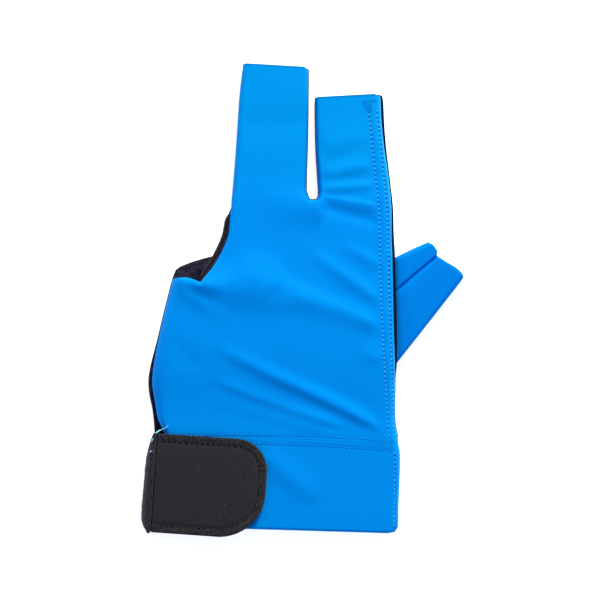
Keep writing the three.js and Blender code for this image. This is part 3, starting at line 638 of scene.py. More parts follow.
def soft_corner(points, corner, drop, reach):
    """Rounds the corner of a fingertip."""
    points[:, 1] -= drop * bump(np.hypot(points[:, 0] - corner[0], points[:, 1] - corner[1]), reach)


for corner, drop in [(slot_lines[0][-1], 0.5), (thumb_seam[-1], 0.9)]:
    soft_corner(back_points, corner, drop, 1.3)
# The back's lower end dips under the cuff, to which it is sewn.
below_seam = -above_wrist(back_points[:, 0], back_points[:, 1])
back_points[:, 2] -= 0.04 * ease(below_seam, -0.4, 0) + 0.9 * ease(below_seam, 0, 0.9)


def seam_highlight_mask(x, y):
    """1 where the cloth rolls over the thumb-side seam, where a lighter blue is painted as its highlight."""
    return 0.75 * bump(distance_to(thumb_seam, x, y)[0], 0.42)


def cut_shade_mask(x, y):
    """1 at the open ends of the fingers, and less along the slot: painted shade, a dark blue at those edges."""
    return np.maximum(0.75 * bump(nearest(tips, x, y), 0.4), 0.4 * bump(nearest(slot_lines, x, y), 0.3))


glove_back = make_piece("glove_back", *shell(back_points, back_quads, cloth_wall), "blue_cloth", ["back_panel"],
                        blue_knit, rim=seam_highlight_mask, cut=cut_shade_mask)

# %% [markdown]
# The palm is the same outline in black, laid flat on the table, with its sides turned up into the seams and a hole
# under the thumb.

# %% Palm
hole_strip, hole_reach = 2.6, 8.4  # cloth between seam and thumb hole, and the hole's far edge, from the seam
palm_slope = 2.4
hole_low, hole_high = thumb_low + 0.018, thumb_high - 0.012
finger_inset, slot_inset = 0.5, 0.08
palm_finger_seam = finger_seam + [finger_inset, 0]
palm_lines = [*slot_lines, seam_line(palm_little_x, -0.02, heel_top_at, middle_length, 100), palm_finger_seam,
              seam_line(palm_thumb_x, -1, 2, index_length, 240, -index_slant)]


def floor_z(x, y):
    """Underside of the lower cloth: it lies on the table and turns up into the seams."""
    lift = thumb_lift(x, y)
    flange = hole_strip * (0.38 + 0.62 * lift)
    slope = palm_slope + (hole_reach - hole_strip - seam_gap - palm_slope) * lift
    t = np.clip((nearest(palm_lines, x, y) - flange) / slope, 0, 1)
    return seam_z(x, y) * (1 + np.cos(np.pi * t)) / 2


palm_corner = palm_opening_side[0][0]
palm_start = 1.1 / hand_length
below_hole, beside_hole, above_hole, palm_upper, palm_finger = 19, 28, 3, 14, 30  # rows of faces in each part
bands = np.concatenate([np.linspace(palm_start, hole_low, below_hole + 1),
                        np.linspace(hole_low, hole_high, beside_hole + 1)[1:],
                        np.linspace(hole_high, palm_corner, above_hole + 1)[1:]])
palm_heel = len(bands) - 1
palm_stations = stations_to_tips(bands, palm_upper, palm_finger)
palm_insets = [0, 0.5, 1.04, 1.6, 2.3, 3.0, 3.64]
palm_seam_insets = [0, 0.65, 1.3, 1.95, 2.6, 3.6, 4.7, 5.9, 7.1, 8.4]


def palm_guide(at):
    """The same line for the palm."""
    if at < palm_corner:
        low, high = float(side_x(heel_guide, -1)), palm_opening_side[0][1] * hand_width
        return low + (high - low) * at / palm_corner
    return side_x(palm_opening_side if at < 1 else opening_side, at) + finger_inset * float(ease(at, 0.93, 0.98))


def thumb_hole(strip, row, from_thumb):
    """The faces left out for the thumb: five columns of the index strip, a little way in from the side seam."""
    return strip == 3 and 4 <= from_thumb < 9 and below_hole <= row < below_hole + beside_hole


palm_slot_top = palm_heel + palm_upper
palm_top = palm_slot_top + palm_finger
palm_middle, palm_index = side(slot_middle_side, -slot_inset), side(slot_index_side, slot_inset)
palm_strips = [
    (palm_heel, palm_little_x, palm_guide, palm_insets, 10, [0]),
    (palm_top, palm_guide, palm_middle, palm_insets, 12, palm_insets),
    (palm_slot_top, palm_middle, palm_index, [0], 6, [0]),
    (palm_top, palm_index, palm_thumb_x, palm_insets, 8, palm_seam_insets),
]
palm_points, palm_quads = hand_net(palm_strips, palm_stations, bands * (little_lip[-1][0] / palm_corner), palm_heel,
                                   palm_slot_top, floor_z, slants, arch=0.5, hole=thumb_hole)
# The heel's corner is rounded, the fingertips too, and the wrist end reaches down under the strap.
heel_corner = (-54.6, 66.3)
palm_points[:, 0] += 1.3 * bump(np.hypot(palm_points[:, 0] - heel_corner[0], palm_points[:, 1] - heel_corner[1]), 2.2)
soft_corner(palm_points, palm_lines[-1][-1], 0.5, 1.0)
soft_corner(palm_points, slot_lines[0][-1], 0.6, 1.0)
palm_points[:, 1] -= 2.6 * ease(-palm_points[:, 0], 50, 56.5) * (1 - ease(palm_points[:, 1], 4, 12))


def palm_rim(x, y):
    """1 at the thumb-side seam and round the slot, where the black looks blue-black."""
    return 1 - ease(distance_to(palm_lines[-1], x, y)[0], 0.4, 2.0) * ease(nearest(slot_lines, x, y), 0.3, 1.0)


glove_palm = make_piece("glove_palm", *shell(palm_points, palm_quads[:, ::-1], cloth_wall), "black_cloth",
                        ["palm_panel"], black_knit, rim=palm_rim)

# %% [markdown]
# The thumb is a flat tube that comes out from under the side seam. Empty and pressed, it keeps one fold along its
# length. Its sections go round the tube, and the fold pulls its open end back a little.

# %% Thumb sleeve
thumb_length, thumb_angle, thumb_mouth, thumb_loft = 28.6, math.radians(45.7), 19.9, 7.2
crease_at, crease_depth = 0.325, 1.15
# How far the open end reaches past a straight cut, from its upper corner to its lower one.
mouth_reach = [(0, -0.7), (0.03, -0.4), (0.115, -0.3), (0.247, -0.8), (0.3, -1.7), (0.325, -2.1), (0.36, -2.0),
               (0.537, -1.35), (0.736, -0.4), (0.862, -0.25), (0.96, -0.45), (1, -0.9)]


def thumb_root(y):
    """The point of the palm's thumb-side seam at a height above the wrist seam."""
    return np.array([float(palm_thumb_x(station_of(palm_thumb_x(y / hand_length), np.array(y)))), y])


def thumb_sleeve():
    """The tube's rings, from the one inside the palm's hole to the open end."""
    low_y, high_y = thumb_low * hand_length, thumb_high * hand_length
    axis = np.array([math.cos(thumb_angle), math.sin(thumb_angle)])
    half_mouth = np.array([-axis[1], axis[0]]) * thumb_mouth / 2
    mouth = thumb_root((low_y + high_y) / 2) + axis * thumb_length
    upper, lower = (thumb_root(high_y), mouth + half_mouth), (thumb_root(low_y), mouth - half_mouth)
    # u runs across the tube, from its upper fold to its lower one over the top and back underneath.
    rounding = 0.1 * (1 - np.cos(np.pi / 2 * np.linspace(0, 1, 13)))
    half_turn = np.concatenate([rounding, np.linspace(0.1, 0.27, 9)[1:], np.linspace(0.27, 0.38, 25)[1:],
                                np.linspace(0.38, 0.9, 22)[1:], 1 - rounding[-2::-1]])
    u = np.concatenate([half_turn, half_turn[-2:0:-1]])
    over = np.arange(len(u)) < len(half_turn)
    fold = bump(u - crease_at, np.where(u < crease_at, 0.02, 0.034))
    hump = 0.3 * bump(u - 0.17, 0.11) + 0.3 * bump(u - 0.55, 0.2)
    rings = []
    # The first ring is the one that turns in through the palm's hole.
    for t in np.concatenate([[-1], np.linspace(0, 1, 34)]):
        s = max(t, 0)
        loft = thumb_neck + (thumb_loft - thumb_neck) * float(ease(s, 0.02, 0.3))
        width = (high_y - low_y) * (1 - s) + thumb_mouth * s
        above, below = (start * (1 - s) + end * s for start, end in (upper, lower))
        flat = above * (1 - u)[:, None] + below * u[:, None]
        flat = flat + axis * (along(mouth_reach, u) * float(ease(s, 0.55, 1)))[:, None]
        turned = np.minimum(1, np.minimum(u, 1 - u) * width / (0.27 * loft))
        half = loft / 2 * np.sqrt(1 - (1 - turned) ** 2)
        dip = bump(s, 0.055) + crease_depth * fold * float(ease(s, -0.15, 0.2))
        z = loft / 2 + np.where(over, half + (hump - 2 * dip) * half / loft, -half)
        ring = np.column_stack([flat, z])
        if t < 0:
            under = ease(1 - ring[:, 2] / thumb_neck, 0.2, 0.9)
            ring[:, 0] -= hole_strip - seam_gap + (hole_reach - hole_strip) * under
            ring[:, 1] = np.clip(ring[:, 1], hole_low * hand_length + 0.6, hole_high * hand_length - 0.6)
        rings.append(ring)
    return np.vstack(rings), net_quads(len(rings), len(u), closed=True)


# The thumb sleeve wears the darker copy of the blue, its painted shade.
glove_thumb = make_piece("glove_thumb", *shell(*thumb_sleeve(), cloth_wall), "blue_cloth", ["thumb_sleeve"],
                         shaded_thumb_knit)

# %% [markdown]
# The cuff is a doubled band. It goes over the wrist, turns at the thumb side and comes back underneath, so one net
# follows that path and stands for both of the CAD model's layers.

# %% Cuff
cuff_wall = 1.3
strap_middle = np.array([-0.6483 * hand_width, -0.4926 * cuff_length])
strap_tilt, base_tail = math.radians(4), 5.5


def cuff_band():
    """Rows over the wrist and back under it, from the hem up to the wrist seam."""
    rows, top = 60, 0.7 / hand_length
    ats = -1 + (top + 1) * np.sin(np.pi / 2 * np.linspace(0, 1, rows))
    over = np.concatenate([np.linspace(0, 0.93, 110), np.linspace(0.93, 1, 26)[1:]])
    under = np.concatenate([np.linspace(1, 0.95, 14)[1:], np.linspace(0.95, 0, 50)[1:]])
    points = []
    for at in ats:
        left, right = float(side_x(little_side, at)), float(side_x(thumb_side, at))
        strap_seam = strap_middle[0] + (at * cuff_length - strap_middle[1]) * math.tan(strap_tilt)
        back_left = strap_seam + base_tail + 0.5  # half a millimetre clear of the strap's end
        front = place(left + (right - left) * over, at, middle_length)
        behind = place(back_left + (right - back_left) * under, at, middle_length)
        rise = at * (cuff_length if at < 0 else hand_length)
        tuck = 0.04 * float(ease(rise, -0.4, 0)) + 0.95 * float(ease(rise, 0, 0.7))
        top_z = roof_z(front[:, 0], front[:, 1]) - tuck
        low_z = floor_z(behind[:, 0], behind[:, 1])
        points.append(np.vstack([np.column_stack([front, top_z]), np.column_stack([behind, low_z])]))
    return np.vstack(points), net_quads(rows, len(over) + len(under))


# The cuff gets the same marks: the painted highlight along the thumb-side seam, and the painted shade of the cut ends,
# which is nil this far from the fingertips.
glove_cuff = make_piece("glove_cuff", *shell(*cuff_band(), cuff_wall), "blue_cloth", ["cuff_front", "cuff_back"],
                        blue_knit, rim=seam_highlight_mask, cut=cut_shade_mask)

# %% [markdown]
# A black strap closes the wrist. Its base comes from under the cuff, goes round the little-finger side and is sewn to
# the tab, a thick brushed fabric with a round end. Both are drawn in the strap's own frame, with x along the tab from
# the seam, and the strap hangs four degrees down towards its end.

# %% Strap
strap_height, tab_length, tab_wall, base_wall = 38.6, 43.5, 2.0, 1.4
strap_low = -0.478 * strap_height
strap_high = strap_low + strap_height
upper_corner, lower_corner = 12.5, 18.0
fold_depth, fold_flat = 4.3, 1.5
patch_wall, strap_seam_half = 1.0, 0.15
strap_top = loft_share[0][1] * palm_loft + seam_gap + patch_wall + seam_gap + tab_wall
strap_reach = [(0, 0.42), (0.06, 0.8), (0.15, 1), (0.5, 0.98), (0.75, 0.92), (0.9, 0.7), (1, 0.42)]


def strap_to_glove(points):
    """Points of the strap's own frame as points of the glove."""
    c, s = math.cos(-strap_tilt), math.sin(-strap_tilt)
    x, y, z = np.asarray(points, float).T
    return np.column_stack([strap_middle[0] + c * x - s * y, strap_middle[1] + s * x + c * y, z])


def lumps(x, y, size, seed):
    """Weak waves in every direction, the same each time, from -1 to 1."""
    rng, waves = np.random.default_rng(seed), 14
    total = np.zeros(np.shape(x))
    for _ in range(waves):
        angle, phase, pitch = rng.uniform(0, np.pi), rng.uniform(0, 2 * np.pi), size * rng.uniform(0.7, 1.6)
        total += np.sin(2 * np.pi * (x * math.cos(angle) + y * math.sin(angle)) / pitch + phase)
    return total / (waves / 2)


def strap_base():
    """Sections of the base from its lower edge to its upper one, each the same way round the wrist."""
    turns, sections = 40, 90
    at = np.linspace(0, 1, sections + 1)
    reach = fold_depth * along(strap_reach, at) - fold_flat
    y = strap_low + (strap_high - 0.45 - strap_low) * at
    angle = np.linspace(0, np.pi, turns + 1)
    # A section goes from the end under the cuff, round the fold and over to the tab.
    tail, over = np.linspace(base_tail, -fold_flat, 8)[:-1], np.linspace(-fold_flat, -strap_seam_half, 7)[1:]
    z = np.concatenate([0 * tail, strap_top / 2 * (1 - np.cos(angle)),
                        strap_top - 0.5 * ease(over, -0.7, -strap_seam_half)])
    rows = [np.column_stack([np.concatenate([tail, -fold_flat - reach[k] * np.sin(angle), over]),
                             np.full(len(z), y[k]), z]) for k in range(sections + 1)]
    points = np.vstack(rows)
    points[:, 0] += 0.1 * lumps(points[:, 1], points[:, 2], 3.0, 5)
    points[:, 2] += np.where(points[:, 2] > 6, 0.07 * lumps(points[:, 0], points[:, 1], 2.5, 6), 0)
    return strap_to_glove(points), net_quads(sections + 1, len(z))


def tab_edge(x, corner):
    """How far the tab's round end cuts in from its straight edge."""
    into = np.clip(x - (tab_length - corner), 0, corner)
    return corner - np.sqrt(corner**2 - into**2)


def tab_outline(inset, steps=24, start=0.0):
    """Points round the tab at an inset from its edge, from the seam along the top, round the end and back."""
    up = np.linspace(np.pi / 2, 0, steps)
    r1, r2 = upper_corner - inset, lower_corner - inset
    top = np.column_stack([tab_length - upper_corner + r1 * np.cos(up), strap_high - upper_corner + r1 * np.sin(up)])
    down = -up[::-1]
    low = np.column_stack([tab_length - lower_corner + r2 * np.cos(down), strap_low + lower_corner + r2 * np.sin(down)])
    return np.vstack([[[start, strap_high - inset]], top, low, [[start, strap_low + inset]]])


tab_round, tab_seam_round, tab_groove = 0.95, 0.75, 3.1


def rounded(far, radius):
    """How much a rounded edge lies below the flat, at a distance in from it."""
    return radius - np.sqrt(np.clip(radius**2 - (radius - np.minimum(far, radius)) ** 2, 0, None))


def droop(x):
    """The tab's free end hangs a little."""
    return ease(x, tab_length - 6, tab_length + 2)


def tab_top(x, y):
    """Upper side of the tab, rounded at its edges and pressed down along its stitches."""
    edge = distance_to(tab_outline(0.0), x, y)[0]
    corners = rounded(edge, tab_round) + rounded(np.clip(x - strap_seam_half, 0, None), tab_seam_round)
    dip = 0.38 * bump(distance_to(tab_outline(tab_groove, start=1.5), x, y)[0], 0.75)
    puff = (0.22 * ease(edge, 3.0, 9.0) - 0.1) * ease(edge, 0, 2) + 0.06 * lumps(x, y, 6.0, 7) * ease(edge, 0, 3)
    return strap_top - droop(x) - corners - dip + puff


def strap_tab():
    """The tab as a closed slab: its upper side, its lower side and a band round its edge."""
    to_end = (tab_length - 25 - strap_seam_half) * np.sin(np.pi / 2 * np.linspace(0, 1, 60)[1:])
    columns = np.concatenate([[0, 0.08, 0.25, 0.5, 0.8, 1.2], np.linspace(1.7, 25, 36), 25 + to_end]) + strap_seam_half
    rows = np.linspace(0, 1, 71)
    rows = 0.35 * rows + 0.65 * (1 - np.cos(np.pi * rows)) / 2
    low, high = strap_low + tab_edge(columns, lower_corner), strap_high - tab_edge(columns, upper_corner)
    x = np.repeat(columns, len(rows))
    y = (low[:, None] + (high - low)[:, None] * rows).reshape(-1)
    top = tab_top(x, y)
    lift = rounded(distance_to(tab_outline(0.0), x, y)[0], tab_round)
    bottom = np.minimum(strap_top - droop(x) - tab_wall + lift, top - 0.08)
    count = len(x)
    faces = net_quads(len(columns), len(rows))[:, ::-1]
    grid = np.arange(count).reshape(len(columns), len(rows))
    a = np.concatenate([grid[:, 0], grid[-1, 1:], grid[-2::-1, -1], grid[0, -2:0:-1]])
    b = np.roll(a, -1)
    sides = np.column_stack([b + count, a + count, a, b])
    points = np.vstack([np.column_stack([x, y, top]), np.column_stack([x, y, bottom])])
    return strap_to_glove(points), np.vstack([faces, faces[:, ::-1] + count, sides])


def brushed(name, deep, bright, fleck, rough, pile, speck=0.0, border=0.0, contrast=1.6, sheen=0.12,
            border_tones=((0.003, 0.003, 0.004), (0.025, 0.026, 0.029))):
    """Black brushed fabric: a short pile of tangled loops, with a little lint caught in it. Where the border mark is
    1 the colour turns to the border tones, a blotchier mix of two blacks."""
    material, wire = new_material(name)
    p = xyz(wire)
    tangle = noise(wire, p, 1.5, 4.0, 0.65)
    broad = noise(wire, p, 0.12, 3.0)
    mixed = (tangle - 0.5) * contrast + 0.35 + broad * 0.3
    colour = mix_colour(wire, mixed, (*deep, 1), (*bright, 1))
    if border:
        edge = wire.make("ShaderNodeAttribute", {"attribute_name": "border"}, out="Fac")
        pressed = (noise(wire, p, 1.0, 3.0, 0.6) - 0.5) * 5.0 + 0.42
        flattened = mix_colour(wire, pressed, (*border_tones[0], 1), (*border_tones[1], 1))
        colour = mix_colour(wire, edge * border, colour, flattened)
    cell = wire.make("ShaderNodeTexVoronoi", Vector=p, Scale=0.55)
    lint = (cell * -1.0 > -speck) * (noise(wire, p, 0.16, 1.0) > 0.6)
    colour = mix_colour(wire, lint * 0.8, colour, (*fleck, 1))
    height = noise(wire, p, 2.4, 3.0, 0.7)
    normal = wire.make("ShaderNodeBump", Strength=0.9, Distance=pile, Height=height)
    finish_material(wire, colour, rough + 0.1 * (tangle - 0.5), normal, Specular_IOR_Level=0.15, Sheen_Weight=sheen,
                    Sheen_Roughness=0.6, Sheen_Tint=(0.8, 0.8, 1, 1))
    return material


tab_cloth = brushed("tab_cloth", (0.008, 0.008, 0.0105), (0.020, 0.021, 0.025), (0.12, 0.12, 0.12), 0.9, 0.00012,
                    speck=0.1, border=0.75)
base_cloth = brushed("base_cloth", (0.003, 0.003, 0.006), (0.031, 0.026, 0.045), (0.15, 0.13, 0.19), 0.95, 0.0004,
                     speck=0.16, contrast=3.6)
hem_cloth = brushed("hem_cloth", (0.001, 0.001, 0.004), (0.006, 0.005, 0.015), (0.05, 0.05, 0.05), 0.9, 0.0003,
                    border=0.9, sheen=0.03, border_tones=((0.01, 0.008, 0.017), (0.036, 0.029, 0.05)))
hook_plastic = brushed("hook_plastic", (0.006, 0.006, 0.007), (0.014, 0.014, 0.015), (0.02, 0.02, 0.02), 0.6, 0.0002)
glove_strap_base = make_piece("glove_strap_base", *shell(*strap_base(), base_wall), "black_strap", ["strap_base"],
                              base_cloth)


def tab_border(x, y):
    """1 outside the tab's stitch row and 0 well inside it."""
    c, s = math.cos(strap_tilt), math.sin(strap_tilt)
    x, y = x - strap_middle[0], y - strap_middle[1]
    return 1 - ease(distance_to(tab_outline(0.0), c * x - s * y, s * x + c * y)[0], 2.6, 4.2)


glove_strap_tab = make_piece("glove_strap_tab", *strap_tab(), "black_strap", ["strap_tab"], tab_cloth,
                             border=tab_border)
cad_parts["closure_patch"].data.materials.clear()
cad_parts["closure_patch"].data.materials.append(hook_plastic)

# %% [markdown]
# The concave edge of the opening is bound with a narrow black strip, so that it can't fray. It is a flat tube that
# follows the edge and thins out at both ends.

# %% Hem of the opening
hem_out, hem_in = 2.4, 1.6  # how far the strip reaches out from the cloth's edge, and back under it


def squarish(wave):
    """A sine or cosine with a flatter top, which makes a round section look pressed."""
    return np.sign(wave) * np.abs(wave) ** 0.7


def opening_hem():
    """A pressed tube along the opening's edge, thinner at both ends, which are closed."""
    at = np.linspace(0.667, 0.93, 70)
    edge = place(side_x(opening_side, at), at, middle_length)
    ahead = np.gradient(edge, axis=0)
    ahead /= np.linalg.norm(ahead, axis=1)[:, None]
    out = np.column_stack([-ahead[:, 1], ahead[:, 0]])
    taper = along([(0, 0.75), (0.12, 1), (0.8, 1), (1, 0.3)], np.linspace(0, 1, len(at)))
    sides = 24
    angle = np.linspace(0, 2 * np.pi, sides + 1)[:-1]
    level = roof_z(edge[:, 0], edge[:, 1]) - cloth_wall - 0.75
    rings = []
    for k in range(len(at)):
        reach = hem_out * taper[k]
        off = (reach - hem_in) / 2 + (reach + hem_in) / 2 * squarish(np.cos(angle))
        hang = 0.9 * (np.clip(off, 0, None) / hem_out) ** 2
        lip = 0.16 * bump(off - reach + 0.5, 0.35)
        z = level[k] + (0.55 + lip) * squarish(np.sin(angle)) - hang
        rings.append(np.column_stack([edge[k] + out[k] * off[:, None], z]))
    points, quads = np.vstack(rings), net_quads(len(at), sides, closed=True)
    n = len(points)
    ends = [[n, (k + 1) % sides, k] for k in range(sides)]
    ends += [[n + 1, n - sides + k, n - sides + (k + 1) % sides] for k in range(sides)]
    return np.vstack([points, rings[0].mean(0), rings[-1].mean(0)]), quads[:, ::-1].tolist() + ends


def hem_stitching(x, y):
    """1 along the two lines where the folded strip is stitched down."""
    far = distance_to(opening_edge, x, y)[0]
    return np.clip(bump(far - 0.35, 0.3) + bump(far - 2.1, 0.3), 0, 1)


glove_hem = make_piece("glove_hem", *opening_hem(), "black_cloth", ["opening_hem"], hem_cloth, border=hem_stitching)

# %% [markdown]
# A stitch is a short piece of thread that goes down into the cloth at both ends. Hundreds of them follow each needle
# line, which is what Geometry Nodes are for: the line becomes a curve, points are set along it at the stitch's pitch,
# and a small bead of thread is placed on each. The same tree sets dark beads between the stitches: painted shade for
# the needle holes.

# %% Stitch tree
def stitch_tree():
    """A beads-on-a-line tree: the sizes of a bead, how far apart they are and by how much their size varies."""
    tree = bpy.data.node_groups.new("stitch_row", "GeometryNodeTree")
    sockets = tree.interface
    sockets.new_socket("Geometry", in_out="INPUT", socket_type="NodeSocketGeometry")
    for name, value in [("Pitch", 0.00185), ("Length", 0.0013), ("Width", 0.0004), ("Height", 0.0003),
                        ("Spread", 0.12)]:
        sockets.new_socket(name, in_out="INPUT", socket_type="NodeSocketFloat").default_value = value
    sockets.new_socket("Seed", in_out="INPUT", socket_type="NodeSocketInt").default_value = 3
    sockets.new_socket("Material", in_out="INPUT", socket_type="NodeSocketMaterial")
    sockets.new_socket("Geometry", in_out="OUTPUT", socket_type="NodeSocketGeometry")
    wire = Wire(tree)
    line, pitch, length, width, height, spread, seed, material = (
        Wire(tree, socket) for socket in list(tree.nodes.new("NodeGroupInput").outputs)[:8])
    curve = wire.make("GeometryNodeMeshToCurve", Mesh=line)
    spaced = wire.make("GeometryNodeCurveToPoints", {"mode": "LENGTH"}, out="Points", Curve=curve, Length=pitch)
    turn = wire.make("FunctionNodeAlignRotationToVector", {"axis": "X"}, Vector=spaced.other("Tangent"))
    bead = wire.make("GeometryNodeMeshUVSphere", Segments=8, Rings=6, Radius=0.5)
    size = wire.make("ShaderNodeCombineXYZ", X=length, Y=width, Z=height)
    vary = wire.make("FunctionNodeRandomValue", {"data_type": "FLOAT"}, out=1, in2=1.0 - spread, in3=1.0, Seed=seed)
    scale = wire.make("ShaderNodeVectorMath", {"operation": "SCALE"}, in0=size, Scale=vary)
    beads = wire.make("GeometryNodeInstanceOnPoints", Points=spaced, Instance=bead, Rotation=turn, Scale=scale)
    real = wire.make("GeometryNodeRealizeInstances", Geometry=beads)
    smooth = wire.make("GeometryNodeSetShadeSmooth", in0=real)
    painted = wire.make("GeometryNodeSetMaterial", Geometry=smooth, Material=material)
    tree.links.new(painted.socket, tree.nodes.new("NodeGroupOutput").inputs[0])
    return tree


stitches = stitch_tree()


def resample(line, step, start=0.0):
    """Points along a line at even steps."""
    line = np.asarray(line, float)
    length = np.concatenate([[0], np.cumsum(np.hypot(*np.diff(line, axis=0)[:, :2].T))])
    at = np.arange(start, length[-1], step)
    return np.column_stack([np.interp(at, length, line[:, k]) for k in range(line.shape[1])])


def sew(name, lines, material, slot, **sizes):
    """Runs the stitch tree on some lines of points and keeps the result as a plain mesh. Sizes are in mm."""
    points, edges = [], []
    for line in lines:
        edges += [(len(points) + i, len(points) + i + 1) for i in range(len(line) - 1)]
        points += to_model(line).tolist()
    mesh = bpy.data.meshes.new(name + "_line")
    mesh.from_pydata(points, edges, [])
    line_object = bpy.data.objects.new(name + "_line", mesh)
    bpy.context.scene.collection.objects.link(line_object)
    modifier = line_object.modifiers.new("stitches", "NODES")
    modifier.node_group = stitches
    ids = {item.name: item.identifier for item in stitches.interface.items_tree if item.in_out == "INPUT"}
    for key, value in sizes.items():
        modifier[ids[key]] = value if key == "Spread" else value * mm
    modifier[ids["Material"]] = material
    graph = bpy.context.evaluated_depsgraph_get()
    sewn = bpy.data.meshes.new_from_object(line_object.evaluated_get(graph))
    sewn.name = name
    piece = bpy.data.objects.new(name, sewn)
    bpy.context.scene.collection.objects.link(piece)
    bpy.data.objects.remove(line_object)
    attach(piece, "root")
    print(f"{name}: {len(sewn.polygons)} faces")
    return piece


def on_cloth(line, lift, start=0.0, step=0.4):
    """The line in short steps, laid on the upper cloth."""
    p = resample(line, step, start)
    return np.column_stack([p, roof_z(p[:, 0], p[:, 1]) + lift])


def thread(name, colour, dark, rough=0.5):
    """Twisted thread. The painted shade between its plies, darker where the ply bump is low, is what makes it look
    spun.
    """
    material, wire = new_material(name)
    p = xyz(wire)
    ply = wire.math("SINE", noise(wire, p, 4.0, 2.0) * 12.0)
    tint = mix_colour(wire, ply * 0.25 + 0.6, (*dark, 1), (*colour, 1))
    normal = wire.make("ShaderNodeBump", Strength=0.5, Distance=0.00005, Height=ply)
    finish_material(wire, tint, rough + 0.05 * ply, normal, Specular_IOR_Level=0.06)
    return material


# The blue, wrist and black threads are lighter than the cloth they lie on: partly the thread's own colour and partly a
# painted highlight on the raised stitches.
blue_thread = thread("blue_thread", (0.05, 0.48, 0.94), (0.0, 0.29, 0.8))
pale_thread = thread("pale_thread", (0.45, 0.82, 0.95), (0.15, 0.5, 0.85))
black_thread = thread("black_thread", (0.04, 0.04, 0.045), (0.014, 0.014, 0.017))
# The hole materials are painted shade: dark beads between the stitches stand for the shade in the needle holes.
tab_hole_shade = thread("tab_hole_shade", (0.002, 0.002, 0.003), (0.001, 0.001, 0.002), 0.9)
needle_hole_shade = thread("needle_hole_shade", (0.0, 0.125, 0.6), (0.0, 0.08, 0.48), 0.9)
tack_thread = thread("tack_thread", (0.0, 0.275, 0.82), (0.0, 0.235, 0.76), 0.8)
wrist_thread = thread("wrist_thread", (0.0, 0.36, 0.92), (0.0, 0.25, 0.8), 0.7)
faint_hole = thread("faint_hole", (0.0, 0.17, 0.69), (0.0, 0.13, 0.6), 0.9)

seam_pitch, tab_pitch = 1.75, 2.1
side_rows, wrist_rows = [needle_rows[k] for k in (0, 1, 4)], needle_rows[2:4]


def sew_rows(name, rows, lift, start, material, length, width, height):
    """One kind of bead along some rows of the blue cloth."""
    return sew(name, [on_cloth(row, lift, start) for row in rows], material, "blue_cloth",
               Pitch=seam_pitch, Length=length, Width=width, Height=height)


between = seam_pitch / 2
stitch_blue = sew_rows("stitch_blue", side_rows, 0.12, 0.0, blue_thread, 1.0, 0.75, 0.4)
stitch_holes = sew_rows("stitch_holes", side_rows, 0.02, between, needle_hole_shade, 0.95, 1.35, 0.22)
stitch_wrist = sew_rows("stitch_wrist", wrist_rows, 0.1, 0.0, wrist_thread, 0.9, 0.5, 0.34)
wrist_holes = sew_rows("wrist_holes", wrist_rows, 0.02, between, faint_hole, 1.1, 1.1, 0.18)

tab_row = resample(tab_outline(tab_groove, start=1.5), 0.4)
tab_row = strap_to_glove(np.column_stack([tab_row, tab_top(tab_row[:, 0], tab_row[:, 1]) + 0.1]))
stitch_tab = sew("stitch_tab", [tab_row], black_thread, "black_strap",
                 Pitch=tab_pitch, Length=1.1, Width=0.55, Height=0.4)
# Dark beads between the tab's stitches: painted shade of its needle holes.
tab_holes = sew("tab_holes", [tab_row[3:]], tab_hole_shade, "black_strap",
                Pitch=tab_pitch, Length=0.95, Width=0.9, Height=0.24, Spread=0.5)

# %% [markdown]
# Where the seam ends at the index fingertip, a bar tack locks it: the needle goes to and fro over a small triangle. A
# few loose ends of pale thread stay at the strap's corner.

# %% Bar tack and thread ends
def zigzag(start, end, wide, count):
    """The thread's way to and fro across a line."""
    start, ahead = np.array(start, float), np.subtract(end, start)
    sideways = np.array([-ahead[1], ahead[0]]) / np.linalg.norm(ahead) * wide / 2
    return np.array([start + ahead * k / count + (sideways if k % 2 else -sideways) for k in range(count + 1)])


tack = [zigzag((19.6, 131.9), (25.4, 132.8), 1.2, 18), zigzag((20.6, 131.0), (22.4, 127.8), 1.4, 10),
        zigzag((22.4, 131.2), (22.9, 128.4), 1.3, 8)]
bar_tack = sew("bar_tack", [on_cloth(line, 0.14, step=0.3) for line in tack], tack_thread, "blue_cloth",
               Pitch=0.3, Length=0.5, Width=0.3, Height=0.16)

ends = [
    [(-61.0, 3.0, 10.2), (-59.4, 4.0, 9.2), (-58.1, 4.3, 8.9), (-56.3, 5.5, 9.3)],
    [(-60.8, 2.8, 10.2), (-59.5, 3.7, 9.4), (-58.6, 4.2, 9.1)],
    [(-62.4, -0.4, 11.9), (-62.2, 0.2, 12.0), (-61.9, 0.7, 11.9)],
    [(-63.2, -4.6, 11.8), (-62.9, -4.2, 11.95), (-62.4, -4.1, 11.8)],
]
thread_ends = sew("thread_ends", [smooth_line(end) for end in ends], pale_thread, "blue_cloth",
                  Pitch=0.16, Length=0.36, Width=0.34, Height=0.34, Spread=0.05)

# %% [markdown]
# Every piece of cloth was cut flat before it was sewn. The widths and lengths of the cuts follow the pattern tables,
# with
# some cloth added for the seams: the palm's width times the length from the wrist seam to the fingertips for the back
# and palm, twice the tube's width for the thumb, and twice the wrist's width for the doubled cuff. The areas of the
# back, palm and thumb, and the cuff's height, were taken from the modelled cloth itself, so that they agree with it
# proves nothing. The narrow hem and the stitches go with the cloth that they are sewn to. No sizes are declared here;
# the cell only names the pieces.

# %% Pieces of cloth
print("cloth pieces: back, palm, thumb, cuff, strap base, strap tab and hem")

# %% [markdown]
# The light is a large soft one from above the fingertips, as in a plain product shot, over a white floor.

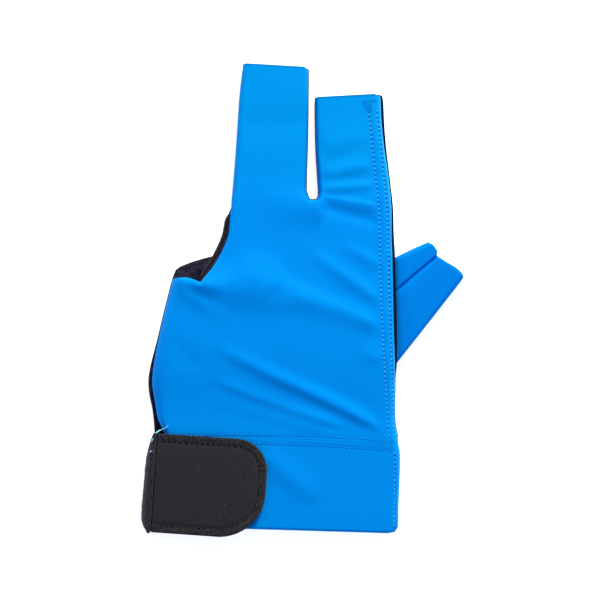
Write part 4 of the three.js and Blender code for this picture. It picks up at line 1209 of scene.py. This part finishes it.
# %% Camera, floor and light
photo_px, photo_size, photo_middle, wrist_px = 0.39, 612, 306, (312.5, 440)
lens, sensor, glove_middle_z = 180.0, 36.0, 6
centre = np.array([photo_middle - wrist_px[0], wrist_px[1] - photo_middle]) * photo_px + glove_shift
camera_data = bpy.data.cameras.new("camera")
camera_data.lens, camera_data.clip_end = lens, 20
camera = bpy.data.objects.new("camera", camera_data)
camera.location = (centre[0] * mm, centre[1] * mm, (photo_size * photo_px * lens / sensor + glove_middle_z) * mm)
bpy.context.scene.collection.objects.link(camera)
bpy.context.scene.camera = camera

floor_mesh = bpy.data.meshes.new("floor")
floor_mesh.from_pydata([(-3, -3, 0), (3, -3, 0), (3, 3, 0), (-3, 3, 0)], [], [(0, 1, 2, 3)])
floor = bpy.data.objects.new("floor", floor_mesh)
floor.location.z = -0.0001
bpy.context.scene.collection.objects.link(floor)
floor_paint, wire = new_material("floor_paint")
tone = noise(wire, xyz(wire), 0.01)
finish_material(wire, mix_colour(wire, tone, (0.93, 0.93, 0.93, 1), (0.95, 0.95, 0.95, 1)), 0.9, None,
                Specular_IOR_Level=0.0, Emission_Color=(1, 1, 1, 1), Emission_Strength=0.72)
floor_mesh.materials.append(floor_paint)

world = bpy.data.worlds.new("studio")
bpy.context.scene.world = world
world.use_nodes = True
sky = world.node_tree.nodes["Background"]
sky.inputs["Color"].default_value, sky.inputs["Strength"].default_value = (0.94, 0.98, 1.28, 1), 0.42

# Azimuth 0 is the wrist's side and 180 the fingertips'. The light looks at the glove.
azimuth, elevation, distance = math.radians(165), math.radians(32), 0.95
key = bpy.data.lights.new("key", "AREA")
key.shape, key.size, key.energy, key.color = "SQUARE", 0.3, 13.5, (1.0, 0.99, 0.74)
light = bpy.data.objects.new("key", key)
level = distance * math.cos(elevation)
light.location = (level * math.sin(azimuth), -level * math.cos(azimuth), distance * math.sin(elevation))
light.rotation_mode = "QUATERNION"
light.rotation_quaternion = light.location.to_track_quat("Z", "Y")
bpy.context.scene.collection.objects.link(light)
bpy.context.scene.view_settings.view_transform = "Standard"
bpy.context.scene.view_settings.look = "None"
print("camera", [round(v, 4) for v in camera.location])
